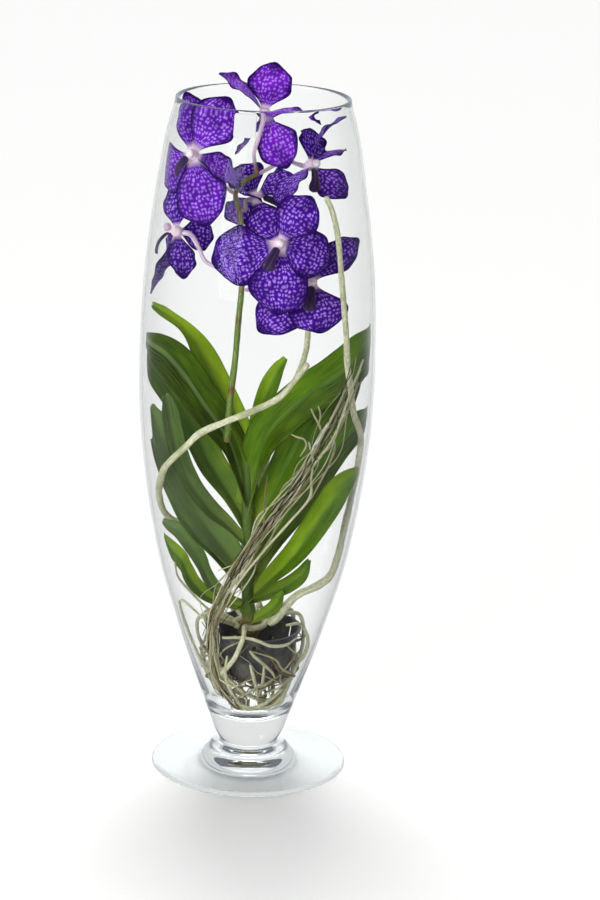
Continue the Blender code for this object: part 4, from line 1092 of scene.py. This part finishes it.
# The nap's tufts are drawn 2 mm apart, coarser than they are, so that they show.
nap = add_node(tree, "ShaderNodeTexNoise", {"Vector": place, "Scale": 450.0, "Detail": 3.0})
colour = add_node(tree, "ShaderNodeMix", {"Factor": nap, "A": linear("#14041F"),
                                          "B": linear("#3C1058")}, data_type="RGBA")
tree.links.new(colour, shader.inputs["Base Color"])
velvet = add_node(tree, "ShaderNodeBump", {"Height": nap, "Strength": 0.5, "Distance": 0.0002})
tree.links.new(velvet, shader.inputs["Normal"])

# %% Pedicel material
pedicel_skin, tree, shader = new_material("ribbed_pedicel_skin", 0.42, IOR=1.4,
                                          Subsurface_Weight=0.2, Subsurface_Scale=0.001)
run, round_x, round_y, brown = [add_node(tree, **FACTOR, attribute_name=name)
                                for name in ("run_mm", "round_x", "round_y", "brown")]
# Some nine ribs go round the pedicel, and keep their line for about 6 mm.
slow_run = add_node(tree, "ShaderNodeMath", {0: run, 1: 0.06}, operation="MULTIPLY")
skin_place = add_node(tree, "ShaderNodeCombineXYZ", {"X": round_x, "Y": round_y, "Z": slow_run})
ribs = add_node(tree, "ShaderNodeTexNoise", {"Vector": skin_place, "Scale": 2.8, "Detail": 3.0})
ribs = add_node(tree, "ShaderNodeMapRange", {"Value": ribs, "From Min": 0.35, "From Max": 0.65})
colour = linear("#B79BBE")
for share, hex_code in ((ribs, "#E6D8DC"), (brown, "#7A5634")):
    colour = add_node(tree, "ShaderNodeMix", {"Factor": share, "A": colour,
                                              "B": linear(hex_code)}, data_type="RGBA")
tree.links.new(colour, shader.inputs["Base Color"])
raised = add_node(tree, "ShaderNodeBump", {"Height": ribs, "Strength": 0.4, "Distance": 0.0003})
tree.links.new(raised, shader.inputs["Normal"])

# %% Their sizes, from the CAD model's numbers
COLUMN_SPINE = [(0, 0.2, 5.5), (0, 1.2, 9.0), (0, 0.6, 12.5)]
COLUMN_RADII = [3.0, 3.5, 3.6, 2.2]
LIP_SPINE = [(-2.8, 7.0, 3.2), (-8, 10.5, 3.6), (-14, 13.6, 4.2), (-20, 14.4, 5.6),
             (-24, 13, 3.4)]
LIP_SECTION = [(-1, 0.3), (-0.45, 1.7), (0, 0.9), (0.45, 1.7), (1, 0.3), (0, -1.7)]
PEDICEL_BACK = (0, 0, -13)
PEDICEL_END = (0, 0, -5.0)
PEDICEL_GAP = 0.5
PEDICEL_RADII = [1.6, 1.6, 1.8, 2.2]
LIP_ROWS = 26


# %% The shapes of a lip and a pedicel
def bloom_point(bloom, x, y, z):
    """The place of a point given in the bloom's own directions: across, up and forward."""
    front = unit(bloom.facing)
    top = -unit(np.array(bloom.lip_way, float) - front * float(np.dot(bloom.lip_way, front)))
    return np.array(bloom.centre) + np.cross(top, front) * x + top * y + front * z


def lip_part(bloom):
    """The lip: the CAD tongue's section, rounded and swept finely along its spine."""
    spine = smooth_path(LIP_SPINE, LIP_ROWS)
    loop = smooth_path([*LIP_SECTION, *LIP_SECTION[:1]], 25)[:-1]
    last, rows = LIP_ROWS - 1, []
    for i, (y, z, half) in enumerate(spine):
        close = math.sqrt(max(0.03, 1 - (1 - min(1.0, i / 2.5, (last - i) / 2.5)) ** 2))
        rows.append([inside_glass(bloom_point(bloom, half * x * close, y, z + up * close),
                                  PETAL_CLEAR) for x, up in loop])
    n, points = len(loop), np.array(rows).reshape(-1, 3)
    faces = [(i * n + k, i * n + (k + 1) % n, (i + 1) * n + (k + 1) % n, (i + 1) * n + k)
             for i in range(last) for k in range(n)]
    return points, faces + [tuple(range(n))[::-1], tuple(last * n + k for k in range(n))]


def spike_radius(height):
    """About how thick the spike is at a height."""
    stops = np.linspace(SPIKE_ROUTE[0][2], SPIKE_ROUTE[-1][2], len(SPIKE_RADII))
    return float(np.interp(height, stops, SPIKE_RADII))


def pedicel_part(bloom, drawn):
    """The pedicel from beside the spike to just behind the receptacle, twisted and ribbed."""
    start, through = np.array(bloom.leaves_at, float), np.array(bloom.passes, float)
    first = start + unit(through - start) * (spike_radius(start[2]) + PEDICEL_GAP)
    back, end = bloom_point(bloom, *PEDICEL_BACK), bloom_point(bloom, *PEDICEL_END)
    route = smooth_path([first, through, (through + back) / 2, back, end], 120)
    points, faces, values = round_tube(route, PEDICEL_RADII, 24, 0.8, drawn, 0.04, 6)
    joint = 0.9 if bloom.letter == "a" else 0.35
    values["brown"] = joint * (1 - smoothstep(6, 24, values["run_mm"]))
    return points, faces, values


# %% The columns, lips and pedicels
drawn = random.Random(8)
for bloom in BLOOMS:
    name = f"bloom_{bloom.letter}"
    route = smooth_path([bloom_point(bloom, *p) for p in COLUMN_SPINE], 40)
    points, faces, values = round_tube(route, COLUMN_RADII, 28, 0.35, drawn, 0.03, 2)
    column = mesh_piece(f"column_{bloom.letter}", points, faces, column_flesh, values)
    stand_for(column, "column_pink", f"{name}_column")
    lip = mesh_piece(f"lip_{bloom.letter}", *lip_part(bloom), lip_velvet)
    stand_for(lip, "lip_dark", f"{name}_lip")
    points, faces, values = pedicel_part(bloom, drawn)
    pedicel = mesh_piece(f"pedicel_{bloom.letter}", points, faces, pedicel_skin, values)
    stand_for(pedicel, "pedicel_pale", f"{name}_pedicel")

# %% [markdown]
# ## Roots
# A vanda's roots are wrapped in velamen, a spongy dead skin that drinks mist. Dry velamen is
# silvery grey-green with fine lengthwise streaks, turns greener where it is damp, and browns
# with age, while the oldest roots are nearly black threads.

# %% Velamen material
velamen, tree, shader = new_material("root_velamen", 0.75, IOR=1.4)
run, round_x, round_y, tone = [add_node(tree, **FACTOR, attribute_name=name)
                               for name in ("run_mm", "round_x", "round_y", "tone")]
# Streaks about a millimetre wide keep their line for some 3 mm. Damp patches are 22 mm wide.
slow_run = add_node(tree, "ShaderNodeMath", {0: run, 1: 0.12}, operation="MULTIPLY")
skin_place = add_node(tree, "ShaderNodeCombineXYZ", {"X": round_x, "Y": round_y, "Z": slow_run})
streaks = add_node(tree, "ShaderNodeTexNoise", {"Vector": skin_place, "Scale": 2.6,
                                                "Detail": 5.0, "Roughness": 0.65})
streaks = add_node(tree, "ShaderNodeMapRange", {"Value": streaks, "From Min": 0.35,
                                                "From Max": 0.68})
colour = add_node(tree, "ShaderNodeMix", {"Factor": streaks, "A": linear("#B2B48A"),
                                          "B": linear("#F3F0D4")}, data_type="RGBA")
place = add_node(tree, "ShaderNodeTexCoord", output="Object")
damp = add_node(tree, "ShaderNodeTexNoise", {"Vector": place, "Scale": 45.0, "Detail": 2.0})
damp = add_node(tree, "ShaderNodeMapRange", {"Value": damp, "From Min": 0.5, "From Max": 0.72,
                                             "To Max": 0.55})
colour = add_node(tree, "ShaderNodeMix", {"Factor": damp, "A": colour,
                                          "B": linear("#929C68")}, data_type="RGBA")
old_skin = add_node(tree, "ShaderNodeMix", {"Factor": streaks, "A": linear("#5C4E34"),
                                            "B": linear("#9C8C62")}, data_type="RGBA")
aged = add_node(tree, "ShaderNodeMapRange", {"Value": tone, "From Max": 0.5})
black = add_node(tree, "ShaderNodeMapRange", {"Value": tone, "From Min": 0.5})
colour = add_node(tree, "ShaderNodeMix", {"Factor": aged, "A": colour, "B": old_skin},
                  data_type="RGBA")
colour = add_node(tree, "ShaderNodeMix", {"Factor": black, "A": colour,
                                          "B": linear("#231A12")}, data_type="RGBA")
tree.links.new(colour, shader.inputs["Base Color"])
spongy = add_node(tree, "ShaderNodeBump", {"Height": streaks, "Strength": 0.6,
                                           "Distance": 0.0004})
tree.links.new(spongy, shader.inputs["Normal"])

# %% The thick aerial roots
AERIAL_CLEAR = 3.9
AERIAL_ROOTS = {
    "aerial_root_right": ([(15, -10, 134), (22, -13, 140), (30, -13, 152), (41, -10, 162),
                           (58, -8, 170), (71, -4, 180), (81, 0, 200), (84, 0, 222),
                           (89, -2, 245), (93, -4, 263), (97, -6, 276), (99, -8, 290),
                           (96, -14, 305), (90, -22, 318), (84, -28, 330), (81, -32, 345),
                           (79, -33, 360), (76, -35, 378), (74, -38, 406), (71, -42, 432),
                           (67, -44, 467), (65, -44, 485), (62, -42, 501), (58, -41, 514),
                           (53, -40, 524)],
                          [3.6, 3.4, 2.9, 2.6, 2.4, 2.3]),
    "aerial_root_left": ([(-11, 11, 192), (-20, 15, 199), (-37, 19, 208), (-56, 15, 216),
                          (-71, 2, 224), (-80, -10, 238), (-84, -23, 256), (-84, -38, 270),
                          (-79, -45, 284), (-72, -49, 293), (-59, -52, 307), (-47, -54, 320),
                          (-27, -54, 330), (-11, -54, 337), (-1, -52, 341), (10, -50, 346),
                          (21, -48, 353), (31, -46, 365), (43, -44, 381)],
                         [3.2, 3.0, 2.8, 2.8, 2.5]),
    "aerial_root_back": ([(-2, 11, 238), (6, 22, 262), (18, 32, 298), (29, 36, 333),
                          (37, 34, 352), (42, 26, 373), (43, 14, 388), (43, 5, 410),
                          (44, 6, 428)], [3.0, 2.8, 2.4]),
}
drawn = random.Random(9)
for name, (route, radii) in AERIAL_ROOTS.items():
    held = [inside_glass(p, AERIAL_CLEAR) for p in smooth_path(route, 240)]
    points, faces, values = round_tube(held, radii, 24, 1.2, drawn, 0.06)
    values["tone"] = np.full(len(points), 0.04)
    root = mesh_piece(f"{name}_velamen", points, faces, velamen, values)
    stand_for(root, "root_pale", name)

# %% [markdown]
# ### The tangle of thin roots
# The thin roots hold the plant in the vase: some spill over the basket and coil in the well, and
# a long bundle runs up past the leaves. The CAD model has the main ones. They are made again
# here from the same draws, in the same order, so that they lie exactly where the solids are.

# %% The roots that the CAD model has
BUNDLE_ROUTE = [(-6, -8, 57), (-20, -27, 76), (-30, -37, 102), (-33, -42, 129), (-30, -43, 153),
                (-20, -42, 176), (-6, -40, 198), (8, -40, 226), (28, -44, 256), (45, -48, 286),
                (60, -53, 314), (72, -53, 341), (81, -48, 362), (88, -39, 378)]
BUNDLE_STRANDS = [(0, 14), (0, 12), (0, 10), (2, 14), (0, 13)]
BUNDLE_TIE = 3
BUNDLE_SPREAD = 6.5
STRAND_RADII = [1.3, 1.3, 1.1, 0.8]
SPILL_START = 13.5
SPILL_RADIUS = (1.6, 2.4)
SPILL_HEADINGS = (20, 52, 88, 124, 156, 188, 216, 262)
SPILL_STOPS = [(34, 137, 0.05), (47, 132, 0.1), (48, 112, 0.25), (42, 92, 0.55),
               (35, 76, 0.95), (27, 64, 1.5), (18, 57, 2.2), (9, 56, 3.0)]
RING_FROM_TO = (4.35, 10.25)
RING_RADIUS = 2.6
RING_OVER_CROWN = 4.0


def round_crown(crown, turn):
    """A point on the circle round the crown that the thin roots start from."""
    return crown + np.array([SPILL_START * math.cos(turn), SPILL_START * math.sin(turn),
                             RING_OVER_CROWN])


def bundle_strand(drawn, k, first, last):
    """One strand, with its own place in the bundle's section, wandering on its way."""
    turn = 2.4 * k
    across = BUNDLE_SPREAD * math.sqrt((k + 0.4) / len(BUNDLE_STRANDS))
    place = np.array([math.cos(turn), 0.4 * math.sin(turn), math.sin(turn)]) * across
    route = []
    for i in range(first, last):
        share = 0.12 if i == BUNDLE_TIE else 1.0
        wander = [drawn.gauss(0, 1.3), drawn.gauss(0, 0.5), drawn.gauss(0, 1.3)]
        route.append(np.array(BUNDLE_ROUTE[i]) + share * (place + wander))
    return route


def spilled_root(drawn, heading, crown):
    """One root: out over the basket's rim, down beside it and round the well's floor."""
    turn = math.radians(heading + drawn.uniform(-5, 5))
    way = 1 if drawn.random() < 0.6 else -1
    drop = drawn.uniform(-1, 2)
    route = [round_crown(crown, turn)]
    for reach, height, swing in SPILL_STOPS:
        angle = turn + way * swing + drawn.uniform(-0.07, 0.07)
        route.append(np.array([reach * math.cos(angle), reach * math.sin(angle), height + drop]))
    return route


def root_part(points, radii, clear, sides, drawn, tone, swell=0.07):
    """One root along the points, kept inside the glass, and how old its skin is."""
    route = [inside_glass(p, clear) for p in smooth_path(points, 6 * len(points))]
    points, faces, values = round_tube(route, radii, sides, max(1.0, radii[0]), drawn, swell)
    return points, faces, {**values, "tone": tone}


# %% The tangle
STRAND_TONES = (0.15, 0.35, 0.55, 0.1, 0.25)
places, looks = random.Random(21), random.Random(22)
crown = stem_point(CROWN_HEIGHT)
ring = [round_crown(crown, turn) for turn in np.linspace(*RING_FROM_TO, 40)]
parts = [root_part(ring, [RING_RADIUS, RING_RADIUS], 0.5, 16, looks, 0.1)]
for heading in SPILL_HEADINGS:
    radius = places.uniform(*SPILL_RADIUS)
    parts.append(root_part(spilled_root(places, heading, crown), [radius, radius, radius * 0.8],
                           radius + 0.4, 14, looks, looks.uniform(0.0, 0.25)))
for k, (first, last) in enumerate(BUNDLE_STRANDS):
    parts.append(root_part(bundle_strand(places, k, first, last), STRAND_RADII, 2.4, 10, looks,
                           STRAND_TONES[k]))
points, faces, values = gathered(parts)
tangle = mesh_piece("root_tangle", points, faces, velamen, values)
stand_for(tangle, "root_dry", "root_mass")

# %% [markdown]
# ### The finest roots
# Many more hair-thin roots run between the main ones, too thin for solids: hooks and loops at
# the upper right, strands across the stem's foot, and a thatch round the basket and in the well.
# The ones that stand out are laid point by point. The thatch is drawn from a seeded generator
# inside the ring between the basket and the glass, so it is the same on each run.

# %% Fine roots that stand out
# A fine root has its tone, its radius and the points that it passes.
FINE_ROOTS = [
    (0.35, 0.8, [(75, -52, 362), (69, -54, 347), (63, -54, 334), (55, -52, 317)]),
    (0.25, 0.8, [(46, -50, 343), (49, -52, 337), (53, -53, 330), (56, -52, 321)]),
    (0.25, 0.7, [(52, -52, 346), (54, -53, 339), (53, -53, 330)]),
    (0.25, 0.8, [(30, -44, 318), (36, -46, 316), (41, -48, 315), (43, -48, 309),
                (38, -46, 299)]),
    (0.1, 1.1, [(45, -52, 314), (49, -50, 297), (48, -48, 280), (47, -46, 262), (30, -45, 239),
                (10, -45, 214), (-11, -46, 185), (-22, -46, 162)]),
    (0.5, 0.9, [(11, -36, 279), (9, -40, 254), (8, -44, 234), (-5, -46, 217), (-18, -47, 196),
                (-32, -47, 156), (-37, -44, 129)]),
    (0.3, 0.9, [(61, -50, 322), (67, -50, 312), (64, -50, 297), (58, -50, 283),
                (48, -48, 261)]),
    (0.25, 1.0, [(-67, -34, 198), (-65, -34, 186), (-58, -36, 177), (-42, -36, 160),
                 (-26, -34, 146)]),
    (0.1, 1.2, [(-42, -34, 146), (-49, -30, 152), (-60, -24, 159), (-65, -22, 156),
                (-64, -22, 144), (-57, -24, 129), (-49, -26, 113), (-42, -26, 99),
                (-32, -22, 80)]),
    (0.1, 1.6, [(30, -32, 141), (43, -26, 140), (50, -20, 123), (48, -20, 108), (42, -22, 103),
                (35, -24, 86), (27, -20, 65), (11, -14, 51)]),
    (0.2, 1.4, [(-1, -44, 121), (3, -46, 117), (10, -47, 111), (19, -46, 102), (23, -44, 95)]),
    (0.1, 1.6, [(0, -46, 109), (4, -44, 93), (7, -36, 75)]),
    (0.2, 1.4, [(12, -46, 109), (11, -42, 92), (6, -32, 70)]),
    (0.15, 1.5, [(-25, -40, 131), (-5, -45, 133), (6, -46, 131), (17, -47, 127), (30, -44, 127),
                 (40, -38, 132)]),
    (0.1, 1.5, [(-20, -44, 116), (-21, -40, 96), (-15, -32, 77), (-5, -22, 61), (8, -12, 54)]),
    (0.3, 1.3, [(-30, -40, 119), (-32, -36, 100), (-24, -28, 77), (-10, -16, 57),
                (6, -2, 47)]),
    (0.15, 1.4, [(-12, -24, 66), (1, -26, 62), (17, -22, 62), (29, -20, 71), (32, -20, 83)]),
]


# %% Drawn fibres and thatch
FIBRES, FIBRE_TONES = 24, (0.05, 0.1, 0.2, 0.3, 0.95)
THATCH_ROOTS, THATCH_TONES = 40, (0.0, 0.1, 0.2, 0.3, 0.6)
# How far out the thatch may lie at each height.
THATCH_HEIGHTS, THATCH_REACHES = (48, 60, 75, 90, 110, 140), (12, 25, 36, 44, 49, 50)
BESIDE_BASKET, BASKET_REACH = (84, 130), 43.5


def bundle_fibre(drawn):
    """A fine fibre along the bundle, from and to a random stop, wandering round its middle."""
    first = drawn.choice((0, 0, 1, 2, 3, 5, 7))
    last = drawn.choice((9, 10, 12, 13, 14))
    across, turn = drawn.uniform(0, 12), drawn.uniform(0, 6.28)
    place = np.array([math.cos(turn), 0.3 * math.sin(turn), math.sin(turn)]) * across
    return [np.array(BUNDLE_ROUTE[i]) + (0.2 if i == BUNDLE_TIE else 1) * place
            + (drawn.gauss(0, 4), drawn.gauss(0, 0.8), drawn.gauss(0, 4))
            for i in range(first, last)]


def thatch_root(drawn):
    """A root of the thatch: down beside the basket and round in the well, at its own pace."""
    turn, way = drawn.uniform(0, 6.28), drawn.choice((-1, 1))
    top = drawn.uniform(92, 136)
    low = drawn.uniform(50, 70)
    sweep = drawn.uniform(0.8, 2.6) * way
    route = []
    for s in np.linspace(0, 1, 8):
        height = top + (low - top) * s
        reach = np.interp(height, THATCH_HEIGHTS, THATCH_REACHES)
        reach -= drawn.uniform(0, 8) if height > 88 else drawn.uniform(0, 22)
        if BESIDE_BASKET[0] < height < BESIDE_BASKET[1]:
            reach = max(reach, BASKET_REACH)
        angle = turn + sweep * s + drawn.uniform(-0.12, 0.12)
        route.append((reach * math.cos(angle), reach * math.sin(angle), height))
    return route


# %% The finest roots
parts = []
for tone, radius, route in FINE_ROOTS:
    parts.append(root_part(route, [radius * 0.7, radius, radius, radius, radius * 0.35],
                           radius + 1.0, 8, looks, tone))
for _ in range(FIBRES):
    radius = looks.uniform(0.35, 0.7)
    parts.append(root_part(bundle_fibre(looks), [radius, radius * 0.6], 2.0, 6, looks,
                           looks.choice(FIBRE_TONES)))
for _ in range(THATCH_ROOTS):
    radius = looks.uniform(0.4, 1.4)
    parts.append(root_part(thatch_root(looks), [radius * 0.4, radius, radius, radius * 0.3],
                           radius + 0.6, 8, looks, looks.choice(THATCH_TONES)))
points, faces, values = gathered(parts)
fine = mesh_piece("finest_roots", points, faces, velamen, values)
stand_for(fine, "root_dry", "root_mass")

# %% [markdown]
# ## Floor, light and surroundings
# The photo was taken on a white table that runs out of sight, so the floor is one very large
# pale plane with a faint grain. Clear glass in an all-white room looks milky, because each face
# mirrors white over what stands behind it, so photographers darken the side that the glass
# mirrors. Here the room and the table turn dim for a ray that has been mirrored on its way, and
# stay bright only far behind the vase, where they edge the rim and the sides.

# %% Rays that have been mirrored
def mirrored_ray(tree):
    """1 for a ray mirrored more often than scattered, else 0, and its Light Path outputs."""
    mirrors = add_node(tree, "ShaderNodeLightPath", output="Glossy Depth")
    light_path = mirrors.node.outputs
    mirrored = add_node(tree, "ShaderNodeMath", {0: mirrors, 1: light_path["Diffuse Depth"]},
                        operation="GREATER_THAN")
    return mirrored, light_path


# Directions count as behind from this share of straight back, and as in front below the other.
BEHIND, BEFORE = 0.95, 0.5

# %% The table's material
table, tree, shader = new_material("matt_white_table", 0.8)
place = add_node(tree, "ShaderNodeTexCoord", output="Object")
# A grain 3 mm wide, so faint that it only keeps the table from looking flat.
grain = add_node(tree, "ShaderNodeTexNoise", {"Vector": place, "Scale": 300.0, "Detail": 2.0})
tint = add_node(tree, "ShaderNodeMix", {"Factor": grain, "A": linear("#F1F1F0"),
                                        "B": linear("#F6F6F5")}, data_type="RGBA")
mirrored, _ = mirrored_ray(tree)
bearing = add_node(tree, "ShaderNodeVectorMath", {0: place}, operation="NORMALIZE")
backwards = add_node(tree, "ShaderNodeSeparateXYZ", {0: bearing}, output="Y")
before = add_node(tree, "ShaderNodeMapRange", {"Value": backwards, "From Min": BEHIND,
                                               "From Max": BEFORE})
before = add_node(tree, "ShaderNodeMath", {0: before, 1: mirrored}, operation="MULTIPLY")
tint = add_node(tree, "ShaderNodeMix", {"Factor": before, "A": tint,
                                        "B": linear("#6E6E72")}, data_type="RGBA")
tree.links.new(tint, shader.inputs["Base Color"])

# %% The floor
FLOOR_HALF = 14.0
# A hair's breadth under the foot's polished ring, so that the two faces don't coincide.
FLOOR_Z = -0.0003
floor_mesh = bpy.data.meshes.new("table_top")
floor_mesh.from_pydata([(-FLOOR_HALF, -FLOOR_HALF, FLOOR_Z), (FLOOR_HALF, -FLOOR_HALF, FLOOR_Z),
                        (FLOOR_HALF, FLOOR_HALF, FLOOR_Z), (-FLOOR_HALF, FLOOR_HALF, FLOOR_Z)],
                       [], [(0, 1, 2, 3)])
floor_mesh.materials.append(table)
floor = bpy.data.objects.new("table_top", floor_mesh)
bpy.context.scene.collection.objects.link(floor)
print("table top", 2 * FLOOR_HALF, "m square")

# %% The white room
# The light it gives, how bright it looks through the glass or straight, and how bright mirrored.
ROOM_LIGHT = 0.49
ROOM_SEEN = 0.8
FRONT_MIRRORED = 0.15
BACK_MIRRORED = 1.0

world = bpy.data.worlds.new("white_room")
world.use_nodes = True
tree = world.node_tree
background = tree.nodes["Background"]
mirrored, light_path = mirrored_ray(tree)
way = add_node(tree, "ShaderNodeTexCoord", output="Generated")
backwards = add_node(tree, "ShaderNodeSeparateXYZ", {0: way}, output="Y")
dimmed = add_node(tree, "ShaderNodeMapRange", {"Value": backwards, "From Min": BEFORE,
                                               "From Max": BEHIND, "To Min": FRONT_MIRRORED,
                                               "To Max": BACK_MIRRORED})
seen = add_node(tree, "ShaderNodeMath", {0: light_path["Is Camera Ray"],
                                         1: light_path["Is Transmission Ray"]},
                operation="MAXIMUM")
straight = add_node(tree, "ShaderNodeMath", {0: light_path["Diffuse Depth"], 1: 0.5},
                    operation="LESS_THAN")
seen = add_node(tree, "ShaderNodeMath", {0: seen, 1: straight}, operation="MULTIPLY")
plain = add_node(tree, "ShaderNodeMapRange", {"Value": seen, "To Min": ROOM_LIGHT,
                                              "To Max": ROOM_SEEN})
strength = add_node(tree, "ShaderNodeMapRange", {"Value": mirrored, "To Min": plain,
                                                 "To Max": dimmed})
tree.links.new(strength, background.inputs["Strength"])
tint = add_node(tree, "ShaderNodeMix", {"Factor": mirrored, "A": (1.0, 1.0, 1.0, 1.0),
                                        "B": linear("#E6EAF4")}, data_type="RGBA")
tree.links.new(tint, background.inputs["Color"])
bpy.context.scene.world = world
print("room light", ROOM_LIGHT, "and seen", ROOM_SEEN)

# %% The lamps
# One soft light, 56 degrees up, comes from behind and throws the vase's shadow forward. Two
# weaker ones beside it widen the shadow, and a softbox at the front left lights the blooms.
LIGHT_UP = 56.0
LIGHT_AWAY = 3
LIGHT_SPREAD = 24
# Each light's turn from straight behind, in degrees, and its strength.
SKYLIGHTS = {"skylight_left": (-34.0, 0.45), "skylight_back": (-3.0, 1.5),
             "skylight_right": (28.0, 0.45)}


def add_lamp(lamp, at, aim_at):
    """Hangs a lamp at a point, aimed at another, and keeps it out of what gloss mirrors."""
    holder = bpy.data.objects.new(lamp.name, lamp)
    holder.location = at
    holder.rotation_euler = (Vector(aim_at) - Vector(at)).to_track_quat("-Z", "Y").to_euler()
    holder.visible_glossy = False
    bpy.context.scene.collection.objects.link(holder)
    print(lamp.name, "has a strength of", lamp.energy)


for name, (turn, strength) in SKYLIGHTS.items():
    skylight = bpy.data.lights.new(name, "SUN")
    skylight.energy = strength
    skylight.angle = math.radians(LIGHT_SPREAD)
    up, turn = math.radians(LIGHT_UP), math.radians(turn)
    level = LIGHT_AWAY * math.cos(up)
    add_lamp(skylight, (level * math.sin(turn), level * math.cos(turn), LIGHT_AWAY * math.sin(up)),
             (0.0, 0.0, 0.0))
softbox = bpy.data.lights.new("front_softbox", "AREA")
softbox.shape = "SQUARE"
softbox.size = 0.9
softbox.energy = 29
add_lamp(softbox, (-1.1, -1.9, 0.7), (0.0, 0.0, 0.35))
bpy.context.scene.view_settings.view_transform = "Standard"
